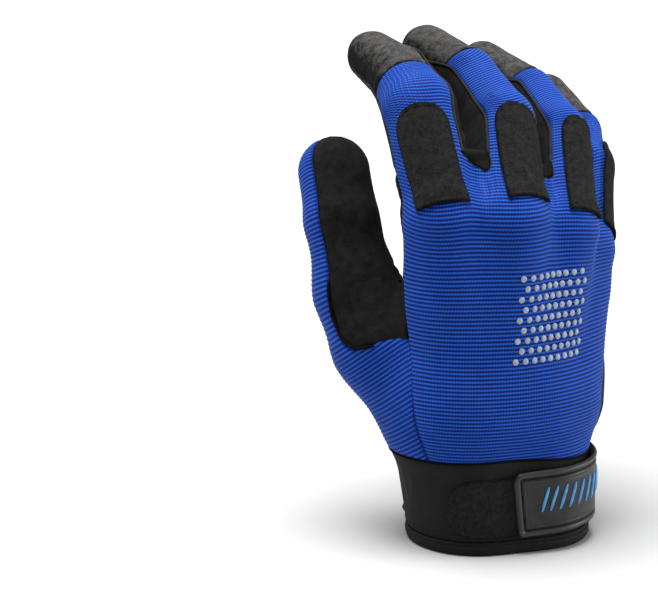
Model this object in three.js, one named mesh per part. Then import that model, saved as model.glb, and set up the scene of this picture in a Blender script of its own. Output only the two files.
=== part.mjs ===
import * as THREE from 'three';

// A right-hand work glove, shown as worn: fingers up, back of the hand towards -Y, thumb towards -X.
// Millimetres, +Z up. The origin is the middle of the cuff's opening, on the plane of the hem.
// Every panel is a patch of one hand-shaped surface, given a thickness towards the hand.

// Driving dimensions
const FABRIC = 1.3;            // back, palm and finger panels
const SEAM = 0.25;             // a panel stops this far short of each seam line
const FRONT_SEAM = 0.5;        // finger fronts
const PALM_SEAM = 0.7;         // palm and side strips, where three panels meet
const CREST_SEAM = 1.5;        // thumb front, which meets the palm on a sharp crest
const PATCH_LIFT = 0.55;       // knuckle patches stand this far off the back
const PATCH_THICK = 1.2;
const CUFF_TOP = 33;           // seam between cuff and hand panels, at the palm
const CUFF_RISE = 1.6;         // the seam is higher than that over the back
const CUFF_FALL = 3;           // and falls by this towards the little finger's side
const CUFF_THICK = 1.6;
const HEM_HIGH = 5;            // folded hem round the opening
const HEM_PROUD = 0.6;
const SLIT_TOP = 61;           // wrist vent on the little finger's side
const SLIT_FROM = 97;          // degrees round the wrist, 0 at the back, 90 at the little finger's side
const SLIT_TO = 115;
const BINDING = 3.2;           // width of the tape round the vent
const BINDING_LIFT = 0.45;
const BINDING_THICK = 1.1;
const TAB_LOW = 6.2;           // moulded strap tab, on the back and round the little finger's side
const TAB_HIGH = 29.8;
const TAB_CLIMB = 2;           // it rises this much on its way round
const STRAP_LEAN = 4;          // degrees that its upper edge is behind the middle, and its lower edge ahead
const TAB_FROM = -6.5;
const TAB_TO = 107.5;
const TAB_LIFT = 1;
const TAB_THICK = 2.2;
const BAND_TO = 147;           // smooth end of the strap, on the palm side
const BAND_LIFT = 0.4;
const BAND_THICK = 1.5;
const LOOP_FROM = -55;         // D-shaped fastening patch on the cuff, partly under the tab
const LOOP_TO = 17;
const LOOP_LIFT = 0.35;
const LOOP_THICK = 0.45;
const BACK_EDGE = 62;          // degrees from a finger's back to the edge of its blue strip
const MIDDLE_EDGE = -50;       // the middle finger's strip goes less far on the thumb side
const OVER_KNUCKLE = 0.8;      // a strip's width over the knuckle, as a share of its width at the web
const FRONT_EDGE = 112;        // and to the edge of its front
const INDEX_SIDE = -82;        // seam on the thumb side of the index finger
const LITTLE_SIDE = 90;        // and on the outer side of the little finger
const KNUCKLE = 0.08;          // row over the knuckles, as a share of the first finger bone
const WEB = 0.46;              // where the fingers part, as a share of the first finger bone
const FRONT_START = 0.48;      // and where the finger fronts start
const WEB_CORNER = -0.4;       // their first corners lean this share out over the web
const WEB_SEAM = 76;           // height where thumb back, thumb front and back panel meet

// Joints of the worn hand, knuckle to fingertip
//   x      y      z      radius of the glove there
const FINGERS = {
  index: [
    [-22.5, -6.0, 118.0, 12.9],
    [-22.5, 19.5, 152.5, 12.8],
    [-22.5, 42.0, 162.5, 11.0],
    [-26.0, 63.5, 168.5, 9.3],
  ],
  middle: [
    [-0.5, -10.0, 117.0, 12.9],
    [8.5, 22.0, 146.5, 12.6],
    [5.0, 46.5, 161.0, 11.1],
    [-3.0, 68.0, 170.0, 9.5],
  ],
  ring: [
    [22.5, -2.0, 112.0, 12.3],
    [33.0, 28.0, 141.0, 11.6],
    [31.5, 52.0, 153.5, 10.4],
    [22.0, 73.5, 163.5, 9.2],
  ],
  little: [
    [37.0, 13.5, 102.0, 11.2],
    [48.2, 37.0, 127.0, 10.3],
    [53.8, 55.5, 138.0, 9.4],
    [49.5, 73.5, 151.0, 8.4],
  ],
  thumb: [
    [-43.4, 26.0, 87.0, 14.2],
    [-46.6, 35.0, 112.0, 13.4],
    [-46.4, 45.0, 128.0, 13.0],
  ],
};
// Which way each knuckle faces, degrees from -Y towards the little finger's side
const FACING = { index: -22, middle: 5, ring: 28, little: 58, thumb: -112 };
// Bones of the palm and wrist
//   x      y      z     radius | x     y      z     radius
const PALM = [
  [-4.0, 1.0, -20.0, 23.0, -13.0, 1.0, 50.0, 24.6],
  [12.5, 1.0, -20.0, 23.0, 11.0, 2.0, 50.0, 24.5],
  [-13.0, 0.0, 50.0, 22.0, -22.0, -6.0, 116.0, 14.0],
  [-4.0, -1.0, 50.0, 23.0, 0.5, -10.0, 115.5, 14.0],
  [5.0, 1.0, 50.0, 23.0, 23.0, -2.0, 110.0, 13.4],
  [14.0, 4.0, 50.0, 20.0, 38.0, 13.5, 100.0, 12.4],
  [21.5, 9.0, 50.0, 22.2, 32.2, 16.0, 84.0, 15.9],
  [-22.5, 8.0, 47.0, 18.0, -36.5, 18.0, 70.0, 17.2],
  [-36.5, 18.0, 70.0, 17.2, -43.4, 26.0, 87.0, 14.2],
];
const PALM_BLEND = 8;
const FINGER_BLEND = 4;

const vec = (x, y, z) => new THREE.Vector3(x, y, z);
const rad = THREE.MathUtils.degToRad;

// One tapered bone with its own frame: A along it, D towards its back, L towards the little finger's side
function bone(from, to, facing) {
  const start = vec(from[0], from[1], from[2]);
  const end = vec(to[0], to[1], to[2]);
  const A = end.clone().sub(start).normalize();
  const turn = new THREE.Quaternion().setFromUnitVectors(vec(0, 0, 1), A);
  const D = vec(Math.sin(rad(facing)), -Math.cos(rad(facing)), 0).applyQuaternion(turn);
  const L = A.clone().cross(D);
  return { start, end, ra: from[3], rb: to[3], A, D, L };
}
const CHAINS = {};
for (const [name, joints] of Object.entries(FINGERS)) {
  CHAINS[name] = joints.slice(1).map((joint, i) => bone(joints[i], joint, FACING[name]));
}
const PALM_BONES = PALM.map((row) => bone(row.slice(0, 4), row.slice(4), 0));

// Distance from a point to one tapered bone, and the smooth union of several
const span = new THREE.Vector3();
const away = new THREE.Vector3();
function boneDistance(p, b) {
  span.subVectors(b.end, b.start);
  away.subVectors(p, b.start);
  const t = THREE.MathUtils.clamp(away.dot(span) / span.lengthSq(), 0, 1);
  return away.addScaledVector(span, -t).length() - (b.ra + (b.rb - b.ra) * t);
}
function blend(a, b, k) {
  const h = Math.max(k - Math.abs(a - b), 0) / k;
  return Math.min(a, b) - h * h * k / 4;
}
// The surface is where this is zero; `who` names the fingers that count
function field(p, who) {
  let palm = 1e3;
  for (const b of PALM_BONES) {
    palm = blend(palm, boneDistance(p, b), PALM_BLEND);
  }
  let all = palm;
  for (const name of who) {
    let finger = 1e3;
    for (const b of CHAINS[name]) {
      finger = blend(finger, boneDistance(p, b), 2);
    }
    all = blend(all, finger, name === 'thumb' ? PALM_BLEND : FINGER_BLEND);
  }
  return all;
}
function gradient(p, who) {
  const e = 0.05;
  const here = field(p, who);
  const q = p.clone();
  const g = vec(0, 0, 0);
  for (const axis of ['x', 'y', 'z']) {
    q.copy(p);
    q[axis] += e;
    g[axis] = (field(q, who) - here) / e;
  }
  return g;
}
// Moves a point straight to the surface, or to a level above or below it
function settle(p, who, level = 0) {
  const q = p.clone();
  for (let step = 0; step < 7; step += 1) {
    const g = gradient(q, who);
    q.addScaledVector(g, -(field(q, who) - level) / Math.max(g.lengthSq(), 0.2));
  }
  return q;
}
// Comes in from outside along a line until it meets the surface
function meet(centre, direction, reach, who, level = 0) {
  let r = reach;
  for (let step = 0; step < 60; step += 1) {
    r -= (field(centre.clone().addScaledVector(direction, r), who) - level) * 0.9;
  }
  return centre.clone().addScaledVector(direction, r);
}

// Curves on the surface, each a function of a share 0..1 from one side to the other
const mix = THREE.MathUtils.lerp;
// round the wrist or palm at a height; degrees from the back (0) to the little finger's side (90)
function round(z, from, to, who = ['thumb'], level = 0) {
  return (s) => {
    const angle = rad(mix(from, to, s));
    const height = typeof z === 'function' ? z(mix(from, to, s)) : z;
    const centre = vec(mix(0, 9, height / 110), mix(1, 0, height / 110), height);
    return meet(centre, vec(Math.sin(angle), -Math.cos(angle), 0), 75, who, level);
  };
}
// round a finger bone; degrees from its back (0) to the little finger's side (90)
function across(name, segment, t, from, to, level = 0) {
  const b = CHAINS[name][segment];
  return (s) => {
    const angle = rad(mix(from, to, s));
    const out = b.D.clone().multiplyScalar(Math.cos(angle)).addScaledVector(b.L, Math.sin(angle));
    return meet(b.start.clone().lerp(b.end, t), out, mix(b.ra, b.rb, t) + 9, [name], level);
  };
}
// over the fingertip; lean is -90 at the front, 0 straight ahead and 90 at the back
function over(name, lean, from, to) {
  const b = CHAINS[name].at(-1);
  const ahead = b.A.clone().multiplyScalar(Math.cos(rad(lean))).addScaledVector(b.D, Math.sin(rad(lean)));
  return (s) => {
    const side = rad(mix(from, to, s));
    const out = ahead.clone().multiplyScalar(Math.cos(side)).addScaledVector(b.L, Math.sin(side));
    return meet(b.end, out, b.rb + 9, [name]);
  };
}

// A sheet of cloth: corners shared between cells, each with an outer and an inner point
class Sheet {
  constructor() {
    this.points = [];
    this.who = [];
    this.cells = [];
  }
  add(p, who) {
    this.points.push(p);
    this.who.push(who);
    return this.points.length - 1;
  }
  // fills the space between curves with rows of cells; returns every row's corner numbers
  weave(curves, columns, who, steps, firstRow = null, closed = false) {
    const lines = curves.map((curve) => {
      const count = closed ? columns : columns + 1;
      return Array.from({ length: count }, (_, i) => curve(i / columns));
    });
    const rows = [];
    for (let k = 0; k < lines.length; k += 1) {
      const parts = k === 0 ? 1 : steps[k - 1];
      for (let part = 1; part <= parts; part += 1) {
        if (k === 0 && firstRow) {
          rows.push(firstRow);
        } else {
          const t = part / parts;
          rows.push(lines[k].map((_, i) => {
            const p = k === 0 ? lines[0][i] : between(lines, k - 1, i, t);
            return this.add(settle(p, who), who);
          }));
        }
      }
    }
    this.join(rows, closed);
    return rows;
  }
  join(rows, closed = false) {
    for (let k = 0; k + 1 < rows.length; k += 1) {
      const n = rows[k].length;
      for (let i = 0; i < (closed ? n : n - 1); i += 1) {
        const j = (i + 1) % n;
        this.cells.push([rows[k][i], rows[k][j], rows[k + 1][j], rows[k + 1][i]]);
      }
    }
  }
}
// A smooth curve through the same place on each line, part way from one line to the next
function between(lines, k, i, t) {
  const at = (n) => lines[THREE.MathUtils.clamp(n, 0, lines.length - 1)][i];
  const [a, b, c, d] = [at(k - 1), at(k), at(k + 1), at(k + 2)];
  const p = vec(0, 0, 0);
  p.addScaledVector(a, -0.5 * t + t * t - 0.5 * t ** 3);
  p.addScaledVector(b, 1 - 2.5 * t * t + 1.5 * t ** 3);
  p.addScaledVector(c, 0.5 * t + 2 * t * t - 1.5 * t ** 3);
  p.addScaledVector(d, -0.5 * t * t + 0.5 * t ** 3);
  return p;
}

// Edges that belong to one cell only
function rimOf(sheet) {
  const edges = new Map();
  for (const cell of sheet.cells) {
    cell.forEach((a, i) => {
      const b = cell[(i + 1) % 4];
      const key = a < b ? `${a} ${b}` : `${b} ${a}`;
      edges.set(key, edges.has(key) ? null : [a, b]);
    });
  }
  return [...edges.values()].filter(Boolean);
}
// Evens out the inner corners over the surface; the rim stays where the seams are
function relax(sheet, rounds) {
  const fixed = new Set(rimOf(sheet).flat());
  const near = sheet.points.map(() => new Set());
  for (const cell of sheet.cells) {
    cell.forEach((a, i) => {
      near[a].add(cell[(i + 1) % 4]);
      near[a].add(cell[(i + 3) % 4]);
    });
  }
  for (let pass = 0; pass < rounds; pass += 1) {
    sheet.points = sheet.points.map((p, i) => {
      if (fixed.has(i)) {
        return p;
      }
      const middle = vec(0, 0, 0);
      for (const j of near[i]) {
        middle.addScaledVector(sheet.points[j], 1 / near[i].size);
      }
      return settle(middle, sheet.who[i]);
    });
  }
}

// Turns a sheet into a closed solid between two levels of the surface
function thicken(sheet, outerLevel, innerLevel, trim = SEAM) {
  const rim = rimOf(sheet);
  const onRim = new Set(rim.flat());
  const inward = new Map();
  for (const cell of sheet.cells) {
    const middle = vec(0, 0, 0);
    cell.forEach((a) => middle.addScaledVector(sheet.points[a], 0.25));
    for (const a of cell) {
      if (onRim.has(a)) {
        const pull = middle.clone().sub(sheet.points[a]).normalize();
        inward.set(a, (inward.get(a) ?? vec(0, 0, 0)).add(pull));
      }
    }
  }
  const seat = sheet.points.map((p, i) => {
    const q = p.clone();
    if (inward.has(i)) {
      q.addScaledVector(inward.get(i).normalize(), trim * 1.25);
    }
    return q;
  });
  const outer = seat.map((p, i) => settle(p, sheet.who[i], outerLevel));
  const inner = seat.map((p, i) => settle(p, sheet.who[i], innerLevel));
  const n = outer.length;
  const positions = [...outer, ...inner].flatMap((p) => [p.x, p.y, p.z]);
  const index = [];
  const quad = (a, b, c, d) => index.push(a, b, c, a, c, d);
  const facing = outwardSign(sheet, outer);
  for (const [a, b, c, d] of sheet.cells) {
    if (facing > 0) {
      quad(a, b, c, d);
      quad(n + a, n + d, n + c, n + b);
    } else {
      quad(a, d, c, b);
      quad(n + a, n + b, n + c, n + d);
    }
  }
  for (const [a, b] of rim) {
    if (facing > 0) {
      quad(b, a, n + a, n + b);
    } else {
      quad(a, b, n + b, n + a);
    }
  }
  const geometry = new THREE.BufferGeometry();
  geometry.setAttribute('position', new THREE.Float32BufferAttribute(positions, 3));
  geometry.setIndex(index);
  geometry.computeVertexNormals();
  return geometry;
}
function outwardSign(sheet, outer) {
  let total = 0;
  for (const [a, b, c] of sheet.cells.slice(0, 12)) {
    const normal = outer[b].clone().sub(outer[a]).cross(outer[c].clone().sub(outer[a]));
    total += normal.dot(gradient(outer[a], sheet.who[a]));
  }
  return Math.sign(total);
}

// Colours and surfaces
const suede = { color: 0x1f1f1f, roughness: 0.95, metalness: 0 };
const charcoal = { color: 0x33312f, roughness: 0.95, metalness: 0 };
const ribbed = { color: 0x1f46c8, roughness: 0.8, metalness: 0 };
const knit = { color: 0x1a1a1b, roughness: 0.85, metalness: 0 };
const rubber = { color: 0x3a3c3b, roughness: 0.6, metalness: 0 };

const group = new THREE.Group();
function place(name, geometry, look) {
  const mesh = new THREE.Mesh(geometry, new THREE.MeshStandardMaterial(look));
  mesh.name = name;
  group.add(mesh);
}

// Seam lines round the hand, in degrees from the back at a height
const ulnar = (z) => 106 + 11 * THREE.MathUtils.smoothstep(z, SLIT_TOP, 88);
const slitHalf = (z) => {
  const share = THREE.MathUtils.clamp((z - CUFF_TOP) / (SLIT_TOP - CUFF_TOP), 0, 1);
  return (SLIT_TO - SLIT_FROM) / 2 * Math.sqrt(1 - share * share);
};
const thumbSeam = (z) => {
  const share = THREE.MathUtils.clamp((z - CUFF_TOP) / 60, 0, 1);
  return -65 - 23 * share;
};
const heelSeam = (z) => 237 - 3 * THREE.MathUtils.clamp((z - CUFF_TOP) / 53, 0, 1);
const cuffTop = (angle) => {
  const turn = rad(THREE.MathUtils.euclideanModulo(angle + 180, 360) - 180);
  const overBack = Math.sqrt(Math.max(0, Math.cos(turn / 1.3)));
  const fall = CUFF_FALL * ((1 + Math.sin(turn)) / 2) ** 2;
  return CUFF_TOP + overBack * (CUFF_RISE * Math.cos(turn) - fall);
};
const slant = (zFrom, zTo, from, to) => (angle) => mix(zFrom, zTo, (angle - from) / (to - from));
const slope = (zFrom, from, zTo, to) => round(slant(zFrom, zTo, from, to), from, to);
const leaning = (angle, lean, low, high) => (s) => {
  const turn = angle + lean * (1 - 2 * s);
  return round(mix(low, high, s), turn, turn)(0);
};
const part = (curve, from, to) => (s) => curve(mix(from, to, s));
function through(points) {
  const spline = new THREE.CatmullRomCurve3(points, false, 'centripetal');
  return (s) => spline.getPointAt(s);
}
function circle(name, lean, from, to) {
  const b = CHAINS[name].at(-1);
  return (s) => {
    const angle = rad(mix(from, to, s));
    const side = b.D.clone().multiplyScalar(Math.cos(angle)).addScaledVector(b.L, Math.sin(angle));
    const out = b.A.clone().multiplyScalar(Math.cos(rad(lean))).addScaledVector(side, Math.sin(rad(lean)));
    return meet(b.end, out, b.rb + 9, [name]);
  };
}

// Cuff, open at the vent, and its folded hem
const cuff = new Sheet();
const roundCuff = (z) => round(z, SLIT_TO, 360 + SLIT_FROM);
cuff.weave([roundCuff(HEM_HIGH), roundCuff(19), roundCuff(27), roundCuff(cuffTop)], 44, ['thumb'], [1, 1, 1]);
place('cuff', thicken(cuff, 0, -CUFF_THICK), knit);
const hem = new Sheet();
hem.weave([roundCuff(0), roundCuff(HEM_HIGH)], 44, ['thumb'], [1]);
place('cuff_hem', thicken(hem, HEM_PROUD, -CUFF_THICK), knit);

// Back panel: one piece over the back of the hand and the backs of the four fingers
const BACK_STRIPS = [
  // finger, degrees to its edge on the thumb side, and on the other side
  ['index', INDEX_SIDE, BACK_EDGE],
  ['middle', MIDDLE_EDGE, BACK_EDGE],
  ['ring', -BACK_EDGE, BACK_EDGE],
  ['little', -BACK_EDGE, LITTLE_SIDE],
];
// where each blue strip meets the cap on the fingertip: bone and share of it
const CAP = { index: [1, 0.62], middle: [2, 0.08], ring: [2, 0.08], little: [2, 0.08] };
const STRIP = 0.22;
const WEB_GAP = 0.04;
function joinNeighbours(sheet, groups, rowCount) {
  for (let g = 0; g + 1 < groups.length; g += 1) {
    const here = groups[g].slice(0, rowCount).map((row) => row.at(-1));
    const next = groups[g + 1].slice(0, rowCount).map((row) => row[0]);
    sheet.join(here.map((corner, k) => [corner, next[k]]));
  }
}
const back = new Sheet();
const littleEdge = (z) => ulnar(z) - slitHalf(z);
const backRow = (zThumb, zLittle) => slope(zThumb, thumbSeam(zThumb), zLittle, littleEdge(zLittle));
const BACK_ROWS = [
  round(cuffTop, thumbSeam(CUFF_TOP), littleEdge(CUFF_TOP)), backRow(47, 47),
  backRow(WEB_SEAM, SLIT_TOP), backRow(86, 72), backRow(98, 81),
];
const backGroups = BACK_STRIPS.map(([name, from, to], g) => {
  const start = g * (STRIP + WEB_GAP);
  const curves = BACK_ROWS.map((row) => part(row, start, start + STRIP));
  const knuckleFrom = from === INDEX_SIDE ? from : from * OVER_KNUCKLE;
  const knuckleTo = to === LITTLE_SIDE ? to : to * OVER_KNUCKLE;
  curves.push(across(name, 0, KNUCKLE, knuckleFrom, knuckleTo));
  curves.push(across(name, 0, WEB, from, to));
  curves.push(across(name, 0, 0.9, from, to), across(name, 1, 0.12, from, to));
  const [bone, share] = CAP[name];
  curves.push(across(name, 1, bone === 1 ? 0.4 : 0.85, from, to), across(name, bone, share, from, to));
  return back.weave(curves, 5, ['thumb', name], [1, 1, 1, 1, 3, 2, 2, 1, 3, 1]);
});
joinNeighbours(back, backGroups, 10);
relax(back, 6);
place('back_panel', thicken(back, 0, -FABRIC), ribbed);

// Knuckle patches, square at the hand and round towards the fingertip
const PATCHES = {
  // finger: rows of bone, share of the bone and degrees at the thumb side, then both at the other side
  index: [
    [0, -0.04, -35, -0.04, 45], [0, 0.3, -41, 0.3, 45], [0, 0.62, -45, 0.62, 45], [0, 0.79, -39, 0.79, 39],
    [0, 0.87, -22, 0.87, 23],
  ],
  middle: [
    [0, -0.06, -25, 0.03, 50], [0, 0.3, -32, 0.33, 50], [0, 0.7, -35, 0.7, 51], [0, 0.89, -29, 0.89, 45],
    [0, 0.98, -13, 0.98, 30],
  ],
  ring: [
    [0, -0.07, -37, 0, 35], [0, 0.28, -40, 0.3, 35], [0, 0.72, -42, 0.72, 33], [0, 0.91, -37, 0.91, 28],
    [0, 0.99, -22, 0.99, 14],
  ],
  little: [
    [0, 0.13, -36, 0.13, 40], [0, 0.5, -36, 0.5, 40], [0, 0.9, -36, 0.9, 40], [1, 0.22, -30, 0.22, 35],
    [1, 0.4, -17, 0.4, 21],
  ],
};
const slanting = (name, [joint, fromShare, from, toShare, to]) => (s) => {
  const angle = mix(from, to, s);
  return across(name, joint, mix(fromShare, toShare, s), angle, angle)(0);
};
for (const [name, rows] of Object.entries(PATCHES)) {
  const patch = new Sheet();
  const curves = rows.map((row) => slanting(name, row));
  patch.weave(curves, 5, ['thumb', name], [3, 2, 2, 1]);
  place(`knuckle_patch_${name}`, thicken(patch, PATCH_LIFT + PATCH_THICK, PATCH_LIFT, 0), charcoal);
}

// Back of the thumb, from the cuff to the thumb's tip
const thumbBack = new Sheet();
const THUMB_EDGE = 60;
thumbBack.weave([
  round(cuffTop, heelSeam(CUFF_TOP), 360 + thumbSeam(CUFF_TOP)),
  slope(50, heelSeam(50), 47, 360 + thumbSeam(47)),
  slope(58, heelSeam(58), WEB_SEAM, 360 + thumbSeam(WEB_SEAM)),
  slope(65, heelSeam(65), 71, 265),
  slope(71, heelSeam(71), 74, 260),
  slope(78, heelSeam(78), 79, 257),
  slope(84, heelSeam(84), 83, 256),
  across('thumb', 0, 0.25, -62, THUMB_EDGE),
  across('thumb', 0, 0.85, -62, THUMB_EDGE),
  across('thumb', 1, 0.1, -62, THUMB_EDGE),
  across('thumb', 1, 0.95, -62, THUMB_EDGE),
  circle('thumb', 60, -62, THUMB_EDGE),
  circle('thumb', 30, -62, THUMB_EDGE),
  circle('thumb', 5, -62, THUMB_EDGE),
], 8, ['thumb'], [2, 1, 1, 1, 1, 1, 1, 2, 1, 2, 1, 1, 1]);
relax(thumbBack, 6);
place('thumb_back', thicken(thumbBack, 0, -FABRIC), ribbed);

// Front of the thumb, which also covers the web between thumb and index on the back of the hand
const NOTCH = 172;
const thumbFront = new Sheet();
const frontArc = (t, segment) => across('thumb', segment, t, THUMB_EDGE, 298);
const webPoint = (z, angle) => round(z, angle, angle)(0);
const thumbRoot = (angle) => across('thumb', 0, 0.25, angle, angle)(0);
const notch = thumbRoot(NOTCH);
const crestTop = round(100, 272, 272, ['index'])(0);
const crestMiddle = settle(notch.clone().lerp(crestTop, 0.5), ['thumb', 'index']);
const thumbRows = thumbFront.weave([
  circle('thumb', 5, THUMB_EDGE, 298),
  circle('thumb', 30, THUMB_EDGE, 298),
  circle('thumb', 60, THUMB_EDGE, 298),
  frontArc(0.95, 1),
  frontArc(0.1, 1),
  frontArc(0.85, 0),
  frontArc(0.25, 0),
], 17, ['thumb', 'index'], [1, 1, 1, 2, 1, 2]);
const WEB_COLUMNS = 8;
const lastThumbRow = thumbRows.at(-1).slice(0, WEB_COLUMNS + 1);
const lastPoints = lastThumbRow.map((corner) => thumbFront.points[corner]);
thumbFront.weave([
  (s) => lastPoints[Math.round(s * WEB_COLUMNS)],
  through([webPoint(83, 256), webPoint(90, 258), crestMiddle]),
  through([webPoint(79, 257), webPoint(88, 263), crestTop]),
  through([webPoint(74, 260), webPoint(81, 266), webPoint(86, 360 + thumbSeam(86))]),
  through([webPoint(71, 265), webPoint(73, 270), webPoint(WEB_SEAM, 360 + thumbSeam(WEB_SEAM))]),
], WEB_COLUMNS, ['thumb', 'index'], [1, 1, 1, 2], lastThumbRow);
relax(thumbFront, 6);
place('thumb_front', thicken(thumbFront, 0, -FABRIC, CREST_SEAM), suede);

// Palm panel, round to the thumb side of the index finger
const palm = new Sheet();
const palmRow = (zLittle, zThumb) => slope(zLittle, ulnar(zLittle) + slitHalf(zLittle), zThumb, heelSeam(zThumb));
const toThumb = (z, rise, point) => through([
  webPoint(z, ulnar(z)), webPoint(z + 0.15 * rise, 140), webPoint(z + 0.5 * rise, 170), webPoint(z + rise, 200), point,
]);
const indexSide = (z, angle) => round(z, angle, angle, ['index'])(0);
const PALM_ROWS = [
  round(cuffTop, ulnar(CUFF_TOP) + slitHalf(CUFF_TOP), heelSeam(CUFF_TOP)), palmRow(47, 47), palmRow(SLIT_TOP, 64),
  palmRow(66, 78),
  palmRow(68, 84),
  toThumb(69, 12, thumbRoot(298)),
  toThumb(72, 13, thumbRoot(256)),
  toThumb(75, 14, thumbRoot(214)),
  toThumb(78, 15, notch),
  through([indexSide(80, ulnar(80)), indexSide(83, 140), indexSide(90, 171), indexSide(95, 205), crestMiddle]),
  through([indexSide(82, ulnar(82)), indexSide(86, 140), indexSide(92, 172), indexSide(98, 208), indexSide(100, 240),
    crestTop]),
];
const PALM_STRIPS = [
  ['little', LITTLE_SIDE, 360 - FRONT_EDGE],
  ['ring', FRONT_EDGE, 360 - FRONT_EDGE],
  ['middle', FRONT_EDGE, 360 - FRONT_EDGE],
  ['index', FRONT_EDGE, 360 + INDEX_SIDE],
];
const palmGroups = PALM_STRIPS.map(([name, from, to], g) => {
  const start = g * (STRIP + WEB_GAP);
  const curves = PALM_ROWS.map((row) => part(row, start, start + STRIP));
  const near = from === LITTLE_SIDE ? from : mix(from, 180, 0.25);
  const far = to === 360 + INDEX_SIDE ? to : mix(to, 180, 0.25);
  curves.push(across(name, 0, KNUCKLE, near, far));
  curves.push(across(name, 0, WEB, from, to));
  return palm.weave(curves, 5, ['thumb', name], [1, 1, 1, 1, 1, 1, 1, 1, 1, 1, 2, 2]);
});
joinNeighbours(palm, palmGroups, 15);
relax(palm, 20);
place('palm_panel', thicken(palm, 0, -FABRIC, PALM_SEAM), suede);

// Finger fronts: from the palm over the fingertip and back to the blue strip
for (const [name, from, to] of PALM_STRIPS) {
  const [, backFrom, backTo] = BACK_STRIPS.find((row) => row[0] === name);
  const front = new Sheet();
  const row = (segment, t, a, b) => across(name, segment, t, mix(from, 92, a), mix(to, 268, b));
  front.weave([
    row(0, FRONT_START, from === LITTLE_SIDE ? 0 : WEB_CORNER, to === 360 + INDEX_SIDE ? 0 : WEB_CORNER),
    row(0, 0.85, 0, 0), row(1, 0.15, 0, 0), row(1, 0.85, 0, 0), row(2, 0.15, 0.1, 0.1), row(2, 0.9, 0.8, 0.8),
    over(name, -45, 85, -85), over(name, 0, 85, -85), over(name, 45, 85, -85),
    across(name, 2, 0.85, mix(backTo, 88, 0.8), mix(backFrom, -88, 0.8)),
    across(name, 2, 0.08, backTo, backFrom), across(name, ...CAP[name], backTo, backFrom),
  ].slice(0, CAP[name][0] === 1 ? 12 : 11), 7, [name], [2, 1, 2, 1, 2, 1, 1, 1, 1, 2, 1]);
  place(`${name}_front`, thicken(front, 0, -FABRIC, FRONT_SEAM), suede);
}

// Side strips between neighbouring fingers, each a V that turns at the web
const NEIGHBOURS = [['index', 'middle'], ['middle', 'ring'], ['ring', 'little']];
for (const [first, second] of NEIGHBOURS) {
  const strip = new Sheet();
  const side = (name, sign) => {
    const [, from, to] = BACK_STRIPS.find((row) => row[0] === name);
    const edge = sign > 0 ? to : -from;
    return [
      [2, 0.9, 83, 96], [2, 0.1, edge, 110], [1, 0.85, edge, FRONT_EDGE],
      [1, 0.15, edge, FRONT_EDGE], [0, 0.85, edge, FRONT_EDGE], [0, WEB, edge, FRONT_EDGE],
    ].map(([segment, t, a, b]) => across(name, segment, t, sign * a, sign * b));
  };
  const down = strip.weave(side(first, 1), 3, [first], [2, 1, 2, 1, 2]);
  const up = strip.weave(side(second, -1).reverse(), 3, [second], [2, 1, 2, 1, 2]);
  strip.join([down.at(-1), up[0]]);
  place(`side_strip_${first}_${second}`, thicken(strip, 0, -FABRIC, PALM_SEAM), suede);
}

// Tape round the vent's edge, up one side, over the top and down the other
const binding = new Sheet();
const tapeRow = (share) => {
  const turn = rad(mix(-90, 90, share));
  const middle = ulnar(SLIT_TOP);
  const tape = (extra) => {
    const angle = middle + (slitHalf(CUFF_TOP) + extra * 2.3) * Math.sin(turn);
    const height = CUFF_TOP + 3.5 + (SLIT_TOP - CUFF_TOP - 4 + extra) * Math.cos(turn);
    return webPoint(height, angle);
  };
  return (s) => tape(mix(-0.2, 1, s) * BINDING);
};
binding.weave(Array.from({ length: 15 }, (_, i) => tapeRow(i / 14)), 2, ['thumb'], Array(14).fill(1));
place('vent_binding', thicken(binding, BINDING_LIFT + BINDING_THICK, BINDING_LIFT, 0), knit);

// Pieces that lie round the cuff, given as rows of angle, lower edge and upper edge
function wrap(name, rows, lean, lift, thick, look) {
  const piece = new Sheet();
  const curves = rows.map(([angle, low, high]) => leaning(angle, lean, low, high));
  piece.weave(curves, 4, ['thumb'], Array(rows.length - 1).fill(1));
  place(name, thicken(piece, lift + thick, lift, 0), look);
}
const climb = (angle) => TAB_CLIMB * (angle - TAB_FROM) / (TAB_TO - TAB_FROM);
const tabRow = (angle, inset) => [angle, TAB_LOW + climb(angle) + inset, TAB_HIGH + climb(angle) - inset];
wrap('strap_tab', [
  tabRow(TAB_FROM, 3), tabRow(TAB_FROM + 1.8, 0.9), tabRow(TAB_FROM + 6, 0), tabRow(20, 0), tabRow(35, 0),
  tabRow(50, 0), tabRow(62, 0), tabRow(74, 0), tabRow(86, 0), tabRow(98, 0), tabRow(TAB_TO - 1.8, 0.9),
  tabRow(TAB_TO, 3),
], STRAP_LEAN, TAB_LIFT, TAB_THICK, rubber);
const bandRow = (angle, inset) => [angle, TAB_LOW + TAB_CLIMB + 1 + inset, TAB_HIGH + TAB_CLIMB - 1 - inset];
wrap('strap_band', [
  bandRow(TAB_TO + 1.2, 0), bandRow(112, 0), bandRow(118, 0), bandRow(124, 0), bandRow(130, 0.2), bandRow(136, 2.2),
  bandRow(142, 4.7), bandRow(BAND_TO, 7),
], STRAP_LEAN, BAND_LIFT, BAND_THICK, knit);
const loopRow = (angle, inset) => [angle, 6.5 + inset, 28 - inset];
wrap('loop_patch', [
  loopRow(LOOP_FROM, 8), loopRow(LOOP_FROM + 3, 4.4), loopRow(LOOP_FROM + 9, 1.4), loopRow(LOOP_FROM + 18, 0),
  loopRow(-30, 0), loopRow(-22, 0), loopRow(-14, 0), loopRow(-6, 0), loopRow(2, 0), loopRow(10, 0), loopRow(LOOP_TO, 0),
], 0, LOOP_LIFT, LOOP_THICK, knit);

export default group;
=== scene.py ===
import math

import bpy
import numpy as np
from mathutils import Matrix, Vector, kdtree, noise


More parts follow.
